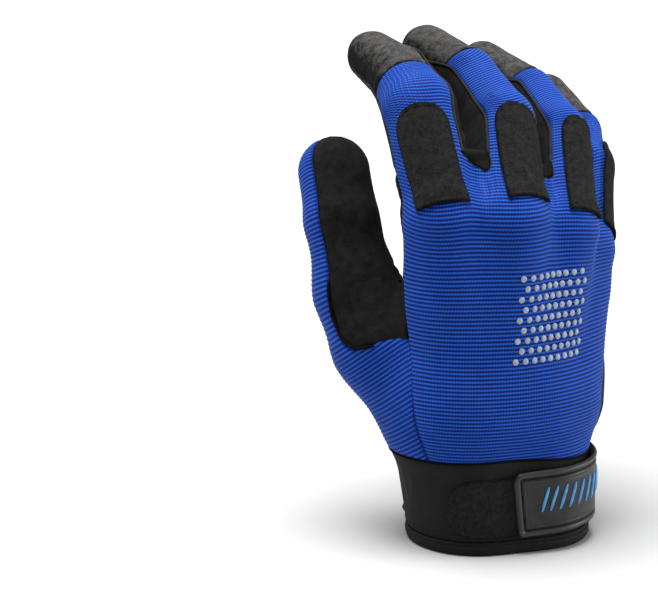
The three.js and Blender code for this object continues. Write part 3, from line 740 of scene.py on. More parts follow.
# Front of the thumb and the web
# Black synthetic suede, cut in one with the web between thumb and index finger, which it covers on the
# back of the hand too. It is sewn to the blue cloth down both sides of the thumb.
def suede(name, dark, light, patches, sheen, rubbed=0.0):
    """Short-napped cloth: fine grain, soft blotches, painted shade along the seams. Where the piece's
    top-light attribute is less than 1 it is darker by that share of the given amount, so that the lighter
    tones stay as a painted highlight on surfaces that face the top light."""
    m = Nodes(name)
    blotch, fine = m.grain(patches, 4), m.grain(0.6, 2)
    shade = m.mix_in(fine, 0.45, m.mix_in(blotch, 0.75, m.seam_shade(1.2, 0.3)))
    # painted highlight: darker where the piece's top-light attribute is below 1, so only surfaces facing the
    # top light keep the lighter tones
    if rubbed:
        shade = m.math("ADD", shade, m.mix_in(m.mark("rubbed"), rubbed, -rubbed))
    m.bump(m.mix_in(blotch, 0.6, fine), 0.5, 0.25)
    return m.finish(
        Base_Color=m.ramp(shade, [(0.36, dark), (0.80, light)]), Roughness=0.95, Specular_IOR_Level=0.05,
        Sheen_Weight=sheen, Sheen_Roughness=0.5, Sheen_Tint=(0.9, 0.87, 0.82, 1),
    )


def folds(points, along, spacing, length, seed):
    """Soft folds from 0 to 1 that run along a direction."""
    along = np.array(along, float) / np.linalg.norm(along)
    run = points @ along
    spot = (points - run[:, None] * along) / spacing + (run / length)[:, None] * along
    return np.array([1 - min(1, abs(noise.noise(Vector(p) + Vector((seed, 0, 0)))) * 3) for p in spot])


black_suede = suede("black suede", (0.0028, 0.0028, 0.0028), (0.0118, 0.0116, 0.0114), 3.5, 0.007)
THUMB_AND_INDEX = ("thumb", "index")
FRONT_COLUMNS, WEB_COLUMNS = 17, 8
thumb_root = lambda degrees: first_point(across("thumb", 0, 0.25, degrees, degrees))
crest_top = point_at(100, 272, ("index",))
crest_middle = settle((thumb_root(172) + crest_top)[None] / 2, THUMB_AND_INDEX)[0]
front_rows = thumb_rings(THUMB_EDGE, 360 + THUMB_HEEL)[::-1]
front_grid = coarse_grid(front_rows, FRONT_COLUMNS, THUMB_AND_INDEX, [1, 1, 1, 2, 1, 2])
root_row = front_grid[-1, :WEB_COLUMNS + 1]
web_lines = [
    lambda s: root_row[np.round(s * WEB_COLUMNS).astype(int)],
    through([point_at(83, 256), point_at(90, 258), crest_middle]),
    through([point_at(79, 257), point_at(88, 263), crest_top]),
    through([point_at(74, 260), point_at(81, 266), point_at(86, 360 + thumb_seam(86))]),
    through([point_at(71, 265), point_at(73, 270), point_at(WEB_SEAM, 360 + thumb_seam(WEB_SEAM))]),
]
web_grid = coarse_grid(web_lines, WEB_COLUMNS, THUMB_AND_INDEX, [1, 1, 1, 2])[1:]
whole = np.concatenate([front_grid, np.repeat(front_grid[-1:], len(web_grid), axis=0)])
THUMB_ROWS = len(front_grid)
whole[THUMB_ROWS:, :WEB_COLUMNS + 1] = web_grid
held = rim_held(whole.shape)
held[THUMB_ROWS - 1:, WEB_COLUMNS:] = True
whole = ease(whole, held, lambda p: settle(p, THUMB_AND_INDEX), 6)
front = Panel()
places = even_places(whole[:THUMB_ROWS, FRONT_COLUMNS // 2], 0.9)
u_front = np.arange(0, FRONT_COLUMNS * ACROSS_STEP + 1) / ACROSS_STEP
numbers = front.add(settle(fine_grid(whole[:THUMB_ROWS], places, u_front), THUMB_AND_INDEX))
front.join(numbers)
places = THUMB_ROWS - 1 + even_places(whole[THUMB_ROWS - 1:, WEB_COLUMNS // 2], 0.8)[1:]
u_web = np.arange(0, WEB_COLUMNS * ACROSS_STEP + 1) / ACROSS_STEP
web = settle(fine_grid(whole[:, :WEB_COLUMNS + 1], places, u_web), THUMB_AND_INDEX)
front.join(np.concatenate([numbers[-1:, :len(u_web)], front.add(web)]))
front.finish()
WEB_CREASES = [
    # degrees and height where each crease leaves the notch, the same where it ends, and its depth
    [(262, 92), (277, 79), 1.0],
    [(258, 90), (263, 78), 0.8],
    [(254, 93), (256, 84), 0.6],
]
height = seam_dip(front) + 0.3 * lumps(front.points, 12, 3) + 0.2 * folds(front.points, (0.3, 0.3, 1), 5, 20, 1)
for (from_turn, from_z), (to_turn, to_z), depth in WEB_CREASES:
    start, stop = point_at(from_z, from_turn, THUMB_AND_INDEX), point_at(to_z, to_turn, THUMB_AND_INDEX)
    span = stop - start
    share = np.clip((front.points - start) @ span / (span @ span), 0, 1)
    away = front.points - start - share[:, None] * span
    sideways = unit(np.cross(unit(span), uphill(((start + stop) / 2)[None], THUMB_AND_INDEX)[0][0]))
    near = ridge(np.linalg.norm(away, axis=1), 0, math.sqrt(30))
    height += depth * near * (ridge(away @ sideways, 1.3, 1.2) - ridge(away @ sideways, -0.6, 0.9))
dress(build("thumb_front_suede", front, height, CLOTH_THICKNESS), black_suede, "palm_suede", "thumb_front")


# Palm
# Black synthetic suede, from the cuff to the roots of the fingers and round to the thumb's side of the
# index finger. It creases from the thumb's notch across the palm.
def palm_row(z_little, z_thumb):
    return sloping(z_little, little_seam(z_little) + slit_half(z_little), z_thumb, heel_seam(z_thumb))


def to_thumb(z, rise, point):
    path = [(z, little_seam(z)), (z + 0.15 * rise, 140), (z + 0.5 * rise, 170), (z + rise, 200)]
    return through([point_at(up, degrees) for up, degrees in path] + [point])


def to_index(path, point):
    return through([point_at(up, degrees, ("index",)) for up, degrees in path] + [point])


PALM_ROWS = [
    around(cuff_top, little_seam(CUFF_TOP) + slit_half(CUFF_TOP), heel_seam(CUFF_TOP)),
    palm_row(47, 47), palm_row(SLIT_TOP, 64), palm_row(66, 78), palm_row(68, 84),
    *[to_thumb(69 + 3 * i, 12 + i, thumb_root(298 - 42 * i)) for i in range(4)],
    to_index([(80, little_seam(80)), (83, 140), (90, 171), (95, 205)], crest_middle),
    to_index([(82, little_seam(82)), (86, 140), (92, 172), (98, 208), (100, 240)], crest_top),
]
PALM_STRIPS = [
    # finger, degrees to its edge on the little finger's side, and on the thumb's side
    ("little", LITTLE_SIDE, 360 - FRONT_EDGE),
    ("ring", FRONT_EDGE, 360 - FRONT_EDGE),
    ("middle", FRONT_EDGE, 360 - FRONT_EDGE),
    ("index", FRONT_EDGE, 360 + INDEX_SIDE),
]
strips = []
for g, (name, start, stop) in enumerate(PALM_STRIPS):
    near = start if start == LITTLE_SIDE else start + (180 - start) / 4
    far = stop if stop == 360 + INDEX_SIDE else stop + (180 - stop) / 4
    finger_lines = [across(name, 0, 0.08, near, far), across(name, 0, WEB, start, stop)]
    strips.append(hand_strip(g, name, PALM_ROWS, finger_lines, [1] * 10 + [2, 2]))
palm_grid = np.concatenate(strips, axis=1)
settle_palm = strip_settle([row[0] for row in PALM_STRIPS])
palm_grid = ease(palm_grid, rim_held(palm_grid.shape), settle_palm, 20)
palm = plain_panel(palm_grid, settle_palm, 0.9, 0.9)
height = seam_dip(palm) + 0.35 * lumps(palm.points, 11, 5)
height += 0.7 * folds(palm.points, (-0.6, 0, 0.8), 11, 45, 2) ** 3
dress(build("palm_suede_panel", palm, height, CLOTH_THICKNESS), black_suede, "palm_suede", "palm_panel")

# Finger fronts
# Each finger's front is black suede that goes over the fingertip and down its back to the blue cloth,
# so that it shows from the back as a cap. Where the cap faces up and back, towards the top light, it is
# painted grey as a painted highlight, and it stays black at its sides.
cap_suede = suede("cap suede", (0.004, 0.004, 0.004), (0.080, 0.078, 0.076), 2.6, 0.01, 0.34)
# places of the creases beside a joint, and their depths
FINGER_CREASES = ((-3.2, 0.45), (0.0, 0.9), (3.0, 0.4))
FRONT_STEPS = [2, 1, 2, 1, 2, 1, 1, 1, 1, 2, 2]
UP_AND_BACK = np.array([0, -0.45, 0.9])


def creases(panel, name):
    """Cross creases on the front of a finger, where it bends."""
    deep = np.zeros(len(panel.points))
    bones = chains[name]
    for lower, upper in zip(bones, bones[1:]):
        front_side = smooth_step(-(panel.out @ (lower["back"] + upper["back"])) / 2, 0.0, 0.7)
        run = (panel.points - upper["base"]) @ unit(lower["along"] + upper["along"])
        run += 1.2 * lumps(panel.points, 9, 21)
        for place, depth in FINGER_CREASES:
            deep += depth * front_side * ridge(run, place, 0.9)
    return deep


for name, start, stop in PALM_STRIPS:
    _, back_start, back_stop = next(row for row in BACK_STRIPS if row[0] == name)
    def front_row(joint, t, narrowing):
        return across(name, joint, t, start + (92 - start) * narrowing, stop + (268 - stop) * narrowing)
    curves = [
        front_row(0, WEB, 0), front_row(0, 0.85, 0), front_row(1, 0.15, 0), front_row(1, 0.85, 0),
        front_row(2, 0.15, 0.1), front_row(2, 0.9, 0.8),
        *[over_tip(name, lean, 85, -85) for lean in (-45, 0, 45)],
        across(name, 2, 0.85, back_stop + (88 - back_stop) * 0.8, back_start + (-88 - back_start) * 0.8),
        across(name, 2, 0.08, back_stop, back_start),
    ]
    if CAP_SEAM[name][0] == 1:
        curves.append(across(name, *CAP_SEAM[name], back_stop, back_start))
    panel = plain_panel(coarse_grid(curves, 7, (name,), FRONT_STEPS[:len(curves) - 1]), (name,), 0.7, 0.7)
    height = seam_dip(panel) + 0.3 * lumps(panel.points, 8, 7) - creases(panel, name)
    height += 0.12 * folds(panel.points, chains[name][1]["side"], 6, 14, 6)
    # painted highlight: how far each point faces up and back, towards the top light, where the cap is painted
    # grey
    top_light_share = smooth_step(panel.out @ UP_AND_BACK, 0.0, 0.95)
    piece = build(f"{name}_front_suede", panel, height, CLOTH_THICKNESS, rubbed=top_light_share)
    dress(piece, cap_suede, "palm_suede", f"{name}_front")


# Side strips
# A narrow black strip goes up the side of one finger and down the next, turning at the web, with a
# blunt V on the back of the hand. Its seams stand up as thin ridges in a paler suede, a painted
# highlight for the light they catch.
def solid_piece(name, points, faces, smooth_degrees, material, slot):
    """A closed piece, all its faces turned outwards."""
    piece = new_piece(name, points, faces)
    bpy.ops.object.mode_set(mode="EDIT")
    bpy.ops.mesh.select_all(action="SELECT")
    bpy.ops.mesh.normals_make_consistent(inside=False)
    bpy.ops.object.mode_set(mode="OBJECT")
    bpy.ops.object.shade_smooth_by_angle(angle=math.radians(smooth_degrees))
    dress(piece, material, slot)


def cord(name, lines, radius, material, slot="palm_suede"):
    """Round piping along lines of points, joined into one piece, thinner at its ends."""
    sides, length_step = 7, 0.9
    turns = (np.arange(sides) * 2 * math.pi / sides)[None, :, None]
    points, faces = [], []
    for line in lines:
        line = spline(line, np.linspace(0, len(line) - 1, max(2, int(run_length(line)[-1] / length_step))))
        ahead = unit(np.gradient(line, axis=0))
        side = unit(np.cross(ahead, uphill(line, tuple(JOINTS))[0]))
        up = np.cross(side, ahead)
        from_end = np.minimum(np.arange(len(line)), np.arange(len(line))[::-1])
        thin = radius * np.sqrt(np.clip(from_end / 2, 0.15, 1))
        out = np.cos(turns) * side[:, None] + np.sin(turns) * up[:, None]
        corners = len(points) + np.arange(len(line) * sides).reshape(-1, sides)
        points.extend((line[:, None] + thin[:, None, None] * out).reshape(-1, 3))
        beside = np.roll(corners, -1, axis=1)
        tube = np.stack([corners[:-1], beside[:-1], beside[1:], corners[1:]], -1)
        faces += tube.reshape(-1, 4).tolist() + [corners[0, ::-1].tolist(), corners[-1].tolist()]
    solid_piece(name, points, faces, 60, material, slot)


# the seam ridges' paler suede is a painted highlight
seam_highlight = suede("seam highlight", (0.020, 0.0195, 0.019), (0.060, 0.058, 0.056), 2.5, 0.05)
V_LENGTH = 0.85
# how far in and how far up each row of the V's upper edge lies, where it turns in between the fingers
V_LIP = ((7, 4), (5, 3.4), (3, 2.6), (1.6, 1.8), (0.6, 0.9))
for g, (first, second) in enumerate((("index", "middle"), ("middle", "ring"), ("ring", "little"))):
    halves = []
    for name, sign, edge in ((first, 1, BACK_STRIPS[g][2]), (second, -1, -BACK_STRIPS[g + 1][1])):
        rows = [(2, 1.03, 89, 90), (2, 0.9, 83, 96), (2, 0.1, edge, 110)]
        rows += [(joint, t, edge, FRONT_EDGE) for joint, t in ((1, 0.85), (1, 0.15), (0, 0.85), (0, WEB))]
        curves = [across(name, joint, t, sign * start, sign * stop) for joint, t, start, stop in rows]
        grid = coarse_grid(curves, 3, (name,), [1, 2, 1, 2, 1, 2])
        halves.append(grid if sign > 0 else grid[::-1])
    panel = Panel()
    numbers, edges = [], []
    for grid, name in zip(halves, (first, second)):
        fine = settle(fine_grid(grid, even_places(grid[:, 1], 0.8), np.linspace(0, 3, 13)), (name,))
        numbers.append(panel.add(fine))
        edges.append(fine[:, [0, -1]])
    panel.join(np.concatenate(numbers))
    panel.finish()
    strip = f"side_strip_{first}_{second}"
    height = seam_dip(panel, 0.5, 1.2) + 0.2 * lumps(panel.points, 8, 9)
    dress(build(f"{strip}_suede", panel, height, CLOTH_THICKNESS), black_suede, "palm_suede", strip)
    down = np.linspace(0, 1, 16)
    share = np.linspace(-1, 1, 7)
    centre = STRIP_COLUMNS * (g + 1) - 0.5 + 0.35 * down
    half = 0.5 * (1 - down) ** 0.8 + 0.05
    u = centre[:, None] + half[:, None] * share
    rows = spline(back_grid, WEB_ROW - V_LENGTH * down)
    settled = np.stack([settle_back(spline(row, columns)[None], columns)[0] for row, columns in zip(rows, u)])
    # its upper edge is pulled straight between the fingers, and turns in there
    straight = settled[:, :1] + (settled[:, -1:] - settled[:, :1]) * ((share + 1) / 2)[None, :, None]
    settled += (straight - settled) * 0.9 * (1 - down)[:, None, None]
    inward = unit(-uphill(settled[0], tuple(JOINTS))[0])
    upward = (chains[first][0]["along"] + chains[second][0]["along"]) / 2 * (1 - share ** 2)[:, None]
    lip = [settled[0] + inward * reach + upward * rise for reach, rise in V_LIP]
    point = sheet_panel(np.concatenate([lip, settled]))
    dress(build(f"{strip}_point", point, 0.4 + 0.35 * rounded(point.edge, 0.6), 0.6), black_suede, "palm_suede")
    round_the_v = [settled[1:, 0], settled[-1:, 3], settled[:0:-1, -1]]
    back_seam = np.concatenate([edges[0][:, 0], *round_the_v, edges[1][:, 0]])
    front_seam = np.concatenate([edges[0][:, 1], edges[1][:, 1]])
    cord(f"{strip}_seams", [back_seam[::3], front_seam[::3]], 0.45, seam_highlight)
# bone and share of it, from the fingertip to the web
CAP_SEAM_STOPS = [
    (2, 0.95), (2, 0.6), (2, 0.25), (1, 0.95), (1, 0.75), (1, 0.6), (1, 0.2), (0, 0.95), (0, 0.7), (0, 0.5),
]
for name, side in (("index", INDEX_SIDE), ("little", LITTLE_SIDE)):
    cap_side = np.array([first_point(across(name, joint, t, side, side)) for joint, t in CAP_SEAM_STOPS])
    cord(f"{name}_cap_seam", [cap_side], 0.5, seam_highlight)
cord("web_seam", [np.concatenate([web[:-1:3, 0], web[-1, :14:3]])], 0.6, black_suede)

# Knuckle patches
# A patch of charcoal suede over each knuckle, square towards the hand and round towards the fingertip,
# raised on thin foam and stitched round its edge.
patch_suede = suede("patch suede", (0.0028, 0.0028, 0.0028), (0.0165, 0.0163, 0.016), 2.4, 0.008)
PATCHES = {
    # finger: rows of bone, share of the bone and degrees at the thumb's side, then both at the other side
    "index": [
        (0, -0.04, -35, -0.04, 43), (0, 0.3, -41, 0.3, 42), (0, 0.62, -45, 0.62, 41), (0, 0.89, -45, 0.89, 41),
    ],
    "middle": [
        (0, -0.06, -25, 0.055, 49), (0, 0.3, -32, 0.33, 50), (0, 0.7, -35, 0.7, 50), (0, 0.97, -35, 0.95, 47),
    ],
    "ring": [(0, -0.07, -37, 0.025, 34), (0, 0.28, -40, 0.3, 35), (0, 0.72, -42, 0.72, 33), (0, 1, -42, 1, 33)],
    "little": [
        (0, 0.13, -36, 0.13, 40), (0, 0.5, -36, 0.5, 40), (0, 0.9, -36, 0.9, 40), (1, 0.44, -36, 0.44, 40),
    ],
}


def slanting(finger, joint, share, start, share_stop, stop):
    """Across a finger's back and along its bone at once."""
    b = chains[finger][joint]
    def line(s):
        t = (share + (share_stop - share) * s)[..., None]
        out = sweep(start, stop, s, b["back"], b["side"])
        return meet(b["base"] + (b["tip"] - b["base"]) * t, out, b["r0"] + FINGER_REACH, (finger,))
    return line


def small_ball(segments, rings):
    """The corners and faces of a ball of radius 1, from which a stitch or a dot is made."""
    bpy.ops.object.select_all(action="DESELECT")
    bpy.ops.mesh.primitive_uv_sphere_add(segments=segments, ring_count=rings, radius=1)
    model = bpy.context.active_object
    corners = np.array([v.co[:] for v in model.data.vertices])
    faces = [list(face.vertices) for face in model.data.polygons]
    bpy.data.objects.remove(model)
    return corners, faces


def copies(name, model, places, frames, smooth_degrees, material, slot):
    """One piece of many copies of a model, each at its place, and turned and sized by its frame."""
    corners, model_faces = model
    points, faces = [], []
    for place, sized in zip(places, frames):
        start = len(points)
        points.extend(place + corners @ sized)
        faces.extend([start + c for c in face] for face in model_faces)
    solid_piece(name, points, faces, smooth_degrees, material, slot)


def stitches(name, lines, pitch, length, radius, slot, zigzag=0.0):
    """Rows of thread stitches along lines of points on the glove. One stitch is modelled and copied."""
    places, frames = [], []
    for line in lines:
        fine = spline(line, np.linspace(0, len(line) - 1, max(2, len(line) * 4)))
        run = run_length(fine)
        count = max(2, int(run[-1] / pitch))
        along = (np.arange(count) + 0.5) / count * run[-1]
        point_on = lambda distance: np.stack([np.interp(distance, run, fine[:, i]) for i in range(3)], -1)
        middle = point_on(along)
        ahead = unit(point_on(along + 0.3) - point_on(along - 0.3))
        out = unit(uphill(middle, tuple(JOINTS))[0])
        side = unit(np.cross(ahead, out))
        if zigzag:
            turn = np.where(np.arange(count) % 2, zigzag, -zigzag)[:, None]
            ahead = ahead * np.cos(turn) + side * np.sin(turn)
            side = np.cross(ahead, out)
        places.extend(middle)
        frames.extend(np.stack([side * radius, out * radius, ahead * length / 2], axis=1))
    copies(name, small_ball(6, 4), places, frames, 80, thread, slot)


thread = suede("thread", (0.015, 0.015, 0.015), (0.05, 0.05, 0.05), 1.5, 0.05)
PATCH_HALF = 3
STITCH_INSET = 1.8
for name, rows in PATCHES.items():
    whole = coarse_grid([slanting(name, *row) for row in rows], 2 * PATCH_HALF, ("thumb", name), [3, 2, 3])
    t = np.linspace(0, len(whole) - 1, 300)
    run = run_length(spline(whole[:, PATCH_HALF], t))
    arch = 0.27 * run[-1]
    straight = np.arange(0, run[-1] - arch, 0.55)
    bend = np.linspace(0, math.pi / 2, 26)
    far = np.concatenate([straight, run[-1] - arch + arch * np.sin(bend)])
    width = np.concatenate([np.ones(len(straight)), np.cos(bend * 0.985) ** 0.66])
    # the two corners at the hand are cut off very slightly
    width[:3] *= np.array([0.955, 0.985, 0.997])
    spaced = spline(whole, np.interp(far, run, t))
    share = np.linspace(-1, 1, 49)
    sheet = np.stack([spline(row, PATCH_HALF + PATCH_HALF * w * share) for row, w in zip(spaced, width)])
    panel = sheet_panel(settle(sheet, ("thumb", name)))
    height = 0.95 + 0.62 * rounded(panel.edge, 1.2) - 0.3 * ridge(panel.edge, STITCH_INSET, 0.4)
    height += 0.25 * smooth_step(panel.edge, 2.2, 6) + 0.12 * lumps(panel.points, 7, 11)
    height += body_lumps(panel.points)
    piece = build(f"knuckle_patch_{name}_suede", panel, height, 1.1)
    dress(piece, patch_suede, "patch_suede", f"knuckle_patch_{name}")
    stitched = (far > 1.7) & (far < run[-1] - 1.6)
    half_width = np.linalg.norm(spaced[stitched, -1] - spaced[stitched, 0], axis=1) / 2 * width[stitched]
    inset = width[stitched] * np.maximum(0, 1 - STITCH_INSET / np.maximum(half_width, STITCH_INSET + 0.1))
    sides = PATCH_HALF + PATCH_HALF * np.stack([-inset, inset], -1)
    ends = np.stack([spline(row, places) for row, places in zip(spaced[stitched], sides)])
    line = np.concatenate([ends[:, 0], ends[::-1, 1], ends[:1, 0]])
    line = settle(line, ("thumb", name), 1.35 + body_lumps(line))
    stitches(f"knuckle_patch_{name}_stitches", [line], 2.3, 1.75, 0.17, "patch_suede")


# Cuff and hem
# A smooth black elastic band sewn to the hand's panels, open at the vent on the little finger's side.
# Its lower edge is folded up and double-stitched, with round corners at the vent.
def elastic_knit(name, dark, light):
    """Close black knit: fine upright rows of loops, faintly lit."""
    m = Nodes(name)
    loops, fine = m.flat_wave("X", 0.7), m.grain(0.5, 2)
    shade = m.mix_in(m.grain(9, 2), 0.5, m.mix_in(fine, 0.35, m.math("MULTIPLY", loops, 0.25)))
    m.bump(m.mix_in(loops, 0.5, fine), 0.35, 0.15)
    return m.finish(
        Base_Color=m.ramp(shade, [(0.25, dark), (0.85, light)]),
        Roughness=0.75, Specular_IOR_Level=0.12, Sheen_Weight=0.01,
    )


knit = elastic_knit("elastic knit", (0.0035, 0.0035, 0.0037), (0.0125, 0.0125, 0.013))
# degrees at which the cuff's two ends lie, and heights of the hem and of its lower stitches
SLIT_FROM, SLIT_TO = 97, 115
HEM_HIGH, HEM_STITCHES = 5, 3.6
CORNER_REACH, CORNER_RISE = 15, 4.5


def corner_rise(degrees):
    from_vent = np.minimum(np.abs(degrees - SLIT_TO), np.abs(360 + SLIT_FROM - degrees))
    return CORNER_RISE * np.clip(1 - from_vent / CORNER_REACH, 0, 1) ** 2


def cuff_height(share):
    low = lambda degrees: HEM_HIGH + corner_rise(degrees)
    return lambda degrees: low(degrees) + (cuff_top(degrees) - low(degrees)) * share


def cuff_panel(heights, row_step):
    curves = [around(height, SLIT_TO, 360 + SLIT_FROM) for height in heights]
    return plain_panel(coarse_grid(curves, 66, ("thumb",), [1] * (len(heights) - 1)), ("thumb",), row_step, 0.8)


cuff = cuff_panel([cuff_height(share) for share in (0, 0.25, 0.5, 0.75, 1)], 0.8)
nub = point_at(9, 249)
nub_lump = lambda panel: 1.5 * ridge(np.linalg.norm(panel.points - nub, axis=1), 0, 1.7)
height = seam_dip(cuff, 0.4, 1.2) + 0.25 * lumps(cuff.points, 15, 13) + nub_lump(cuff)
height += 0.25 * folds(cuff.points, (0, 0, 1), 7, 25, 3) * smooth_step(cuff.points[:, 2], 33, 20)
dress(build("cuff_knit", cuff, height, 1.5), knit, "elastic_knit", "cuff")
# the seam between the cuff and the panels above it
cuff_seam = around(cuff_top, SLIT_TO, 360 + SLIT_FROM)(np.linspace(0, 1, 90))
cord("cuff_seam", [cuff_seam], 0.4, black_suede, "elastic_knit")
hem = cuff_panel([lambda a, z=z: z + corner_rise(a) for z in (0.2, 1.5, 3, 4.2, HEM_HIGH)], 0.3)
up = hem.flat[:, 1]
height = 0.9 * half_round(up, 2.4, 2.5) - 0.28 * ridge(up, HEM_STITCHES, 0.28) + nub_lump(hem)
dress(build("cuff_hem_fold", hem, height, 1.9), knit, "elastic_knit", "cuff_hem")
hem_lines = []
for above, level in ((HEM_STITCHES, 0.75), (HEM_HIGH + 2.2, 0.3)):
    ring = around(lambda degrees: above + corner_rise(degrees), SLIT_TO + 4, 360 + SLIT_FROM - 4)
    hem_lines.append(settle(ring(np.linspace(0, 1, 130)), ("thumb",), level))
stitches("cuff_hem_stitches", hem_lines, 2.6, 1.9, 0.17, "elastic_knit")

# Vent binding
# A narrow woven tape, folded over the edge of the vent in the wrist and stitched down.
TAPE_WIDTH, TAPE_ROWS = 3.2, 14
DEGREES_PER_MILLIMETRE = 2.3


def tape_row(share, low=-0.2, high=1.0):
    """Across the tape at a share of its way round the vent; low and high are shares of its width."""
    turn = math.radians(-90 + 180 * share)
    def line(s):
        points = []
        for extra in (low + (high - low) * s) * TAPE_WIDTH:
            degrees = little_seam(SLIT_TOP) + (SLIT_HALF + extra * DEGREES_PER_MILLIMETRE) * math.sin(turn)
            z = CUFF_TOP + 3.5 + (SLIT_TOP - CUFF_TOP - 4 + extra) * math.cos(turn)
            points.append(point_at(z, degrees))
        return np.array(points)
    return line


tape_lines = [tape_row(i / TAPE_ROWS) for i in range(TAPE_ROWS + 1)]
tape = plain_panel(coarse_grid(tape_lines, 2, ("thumb",), [1] * TAPE_ROWS), ("thumb",), 0.6, 0.35)
woven = elastic_knit("woven tape", (0.010, 0.010, 0.011), (0.030, 0.030, 0.031))
height = 0.45 + 0.95 * rounded(tape.edge, 1.1)
dress(build("vent_binding_tape", tape, height, 1.1), woven, "tape", "vent_binding")
middle = np.array([first_point(tape_row(i / 40, 0.12, 0.12)) for i in range(1, 40)])
stitches("vent_binding_stitches", [settle(middle, ("thumb",), 1.3)], 2.4, 1.7, 0.16, "tape")


# Fastening patch
# A D-shaped patch of looped cloth on the back of the cuff, which the strap's hooks grip. It is sewn on
# with a close zigzag round its curved end and straight rows of stitches beside the strap.
def leaning(lean, degrees, low, high):
    """Up the cuff from one height to another, going round it by twice the lean on the way."""
    return lambda s: np.array([
        point_at(low + (high - low) * share, degrees + lean * (1 - 2 * share)) for share in s
    ])


def wrapped(lean, rows, step):
    curves = [leaning(lean, *row) for row in rows]
    return plain_panel(coarse_grid(curves, 6, ("thumb",), [1] * (len(rows) - 1)), ("thumb",), step, step)


def on_hand(path, level):
    """Points at a level above the hand, from their degrees and heights."""
    return settle(np.array([point_at(z, degrees) for degrees, z in path]), ("thumb",), level)


# degrees, and how far the patch's edge lies in from its full height, at its round end
LOOP_END = [(-55, 8), (-53.5, 6), (-52, 4.4), (-49, 2.6), (-46, 1.4), (-41, 0.4), (-37, 0)]
LOOP_LOW, LOOP_HIGH, LOOP_TOP_LEVEL = 6.5, 28, 0.95
ZIGZAG_INSET = 1.2
loop_rows = [(d, LOOP_LOW + inset, LOOP_HIGH - inset) for d, inset in LOOP_END]
loop_rows += [(d, LOOP_LOW, LOOP_HIGH) for d in (-28, -19, -10, -1, 8, 17)]
loop = wrapped(0, loop_rows, 0.6)
height = 0.4 + 0.5 * rounded(loop.edge, 0.6) - 0.2 * ridge(loop.edge, 2.2, 0.5)
height += 0.12 * lumps(loop.points, 1.2, 17)
napped = suede("looped cloth", (0.006, 0.006, 0.006), (0.020, 0.020, 0.020), 1.6, 0.02)
dress(build("loop_patch_cloth", loop, height, 0.5), napped, "strap_cloth", "loop_patch")
ends = [(d + ZIGZAG_INSET * 1.6 * (d < -50), inset + ZIGZAG_INSET) for d, inset in LOOP_END]
ends += [(d, ZIGZAG_INSET) for d in (-28, -19, -10, 0)]
outline = [(d, LOOP_LOW + inset) for d, inset in ends[::-1]] + [(d, LOOP_HIGH - inset) for d, inset in ends]
zigzag_line = on_hand(outline, LOOP_TOP_LEVEL)
stitches("loop_patch_zigzag", [zigzag_line], 1.15, 1.7, 0.17, "strap_cloth", 0.7)
upright = np.linspace(LOOP_LOW + 2.5, LOOP_HIGH - 2.5, 8)
rows = [on_hand([(d, z) for z in upright], LOOP_TOP_LEVEL) for d in (-27, -24, -17, -14)]
stitches("loop_patch_rows", rows, 1.9, 1.4, 0.16, "strap_cloth")

# Strap
# A moulded rubber tab with a raised round rim lies over the back of the cuff and round its side. It is
# fixed to a smooth strap base on the palm side, which ends in a point and is held by a box of stitches.
TAB_FROM, TAB_TO = -6.5, 107.5
TAB_LOW, TAB_HIGH, TAB_CLIMB = 6.2, 29.8, 2
TAB_CORNER, TAB_LEVEL = 3.2, 2.15
TAB_ENDS = (0, 0.25, 0.8, 1.6, 2.8, 4.2, 6)
STRAP_LEAN = 4


def tab_row(degrees):
    rise = TAB_CLIMB * (degrees - TAB_FROM) / (TAB_TO - TAB_FROM)
    from_end = min(degrees - TAB_FROM, TAB_TO - degrees) * 0.55
    inset = TAB_CORNER - math.sqrt(max(TAB_CORNER ** 2 - max(TAB_CORNER - from_end, 0) ** 2, 0))
    return degrees, TAB_LOW + rise + inset, TAB_HIGH + rise - inset


tab_degrees = [TAB_FROM + x for x in TAB_ENDS] + list(range(8, 97, 8)) + [TAB_TO - x for x in TAB_ENDS[::-1]]
tab = wrapped(STRAP_LEAN, [tab_row(degrees) for degrees in tab_degrees], 0.42)
bead = half_round(tab.edge, 1.15, 1.15)
inner = 0.85 * smooth_step(tab.edge, 2.6, 3.1) - 0.2 * ridge(tab.edge, 4.1, 0.22)


def moulded_rubber():
    """Matt grey rubber, a little paler along the crest of its raised rim."""
    m = Nodes("moulded rubber")
    black, white = (0, 0, 0), (1, 1, 1)
    from_rim = m.math("MULTIPLY", m.mark("seam"), 0.1)
    rim = m.ramp(from_rim, [(0.02, black), (0.09, white), (0.15, white), (0.25, black)])
    shade = m.mix_in(rim, 0.35, m.math("MULTIPLY", m.grain(5, 3), 0.8))
    m.bump(m.grain(0.35, 2), 0.2, 0.12)
    return m.finish(
        Base_Color=m.ramp(shade, [(0.3, (0.009, 0.0094, 0.0094)), (0.75, (0.0245, 0.0252, 0.0252))]),
        Roughness=0.45, Specular_IOR_Level=0.3,
    )


tab_piece = build("strap_tab_rubber", tab, TAB_LEVEL + bead + inner, 1.7)
dress(tab_piece, moulded_rubber(), "moulded_rubber", "strap_tab")


def print_colour(name, grain, dark, light, roughness):
    m = Nodes(name)
    return m.finish(Base_Color=m.ramp(m.grain(grain, 2), [(0.3, dark), (0.7, light)]), Roughness=roughness)


# low round-ended bars moulded on the tab, leaning to one side
BAR_CLIMB = TAB_CLIMB / (TAB_TO - TAB_FROM)
BAR_LEVEL = 3.1
blue_print = print_colour("blue print", 1.5, (0.045, 0.20, 0.44), (0.075, 0.28, 0.56), 0.5)
bars = [((d, 15.2 + BAR_CLIMB * d), (d + 4, 24 + BAR_CLIMB * d)) for d in range(17, 84, 7)]
bar_lines = [on_hand(np.linspace(*bar, 6), BAR_LEVEL) for bar in bars]
cord("strap_tab_bars", bar_lines, 0.55, blue_print, "moulded_rubber")
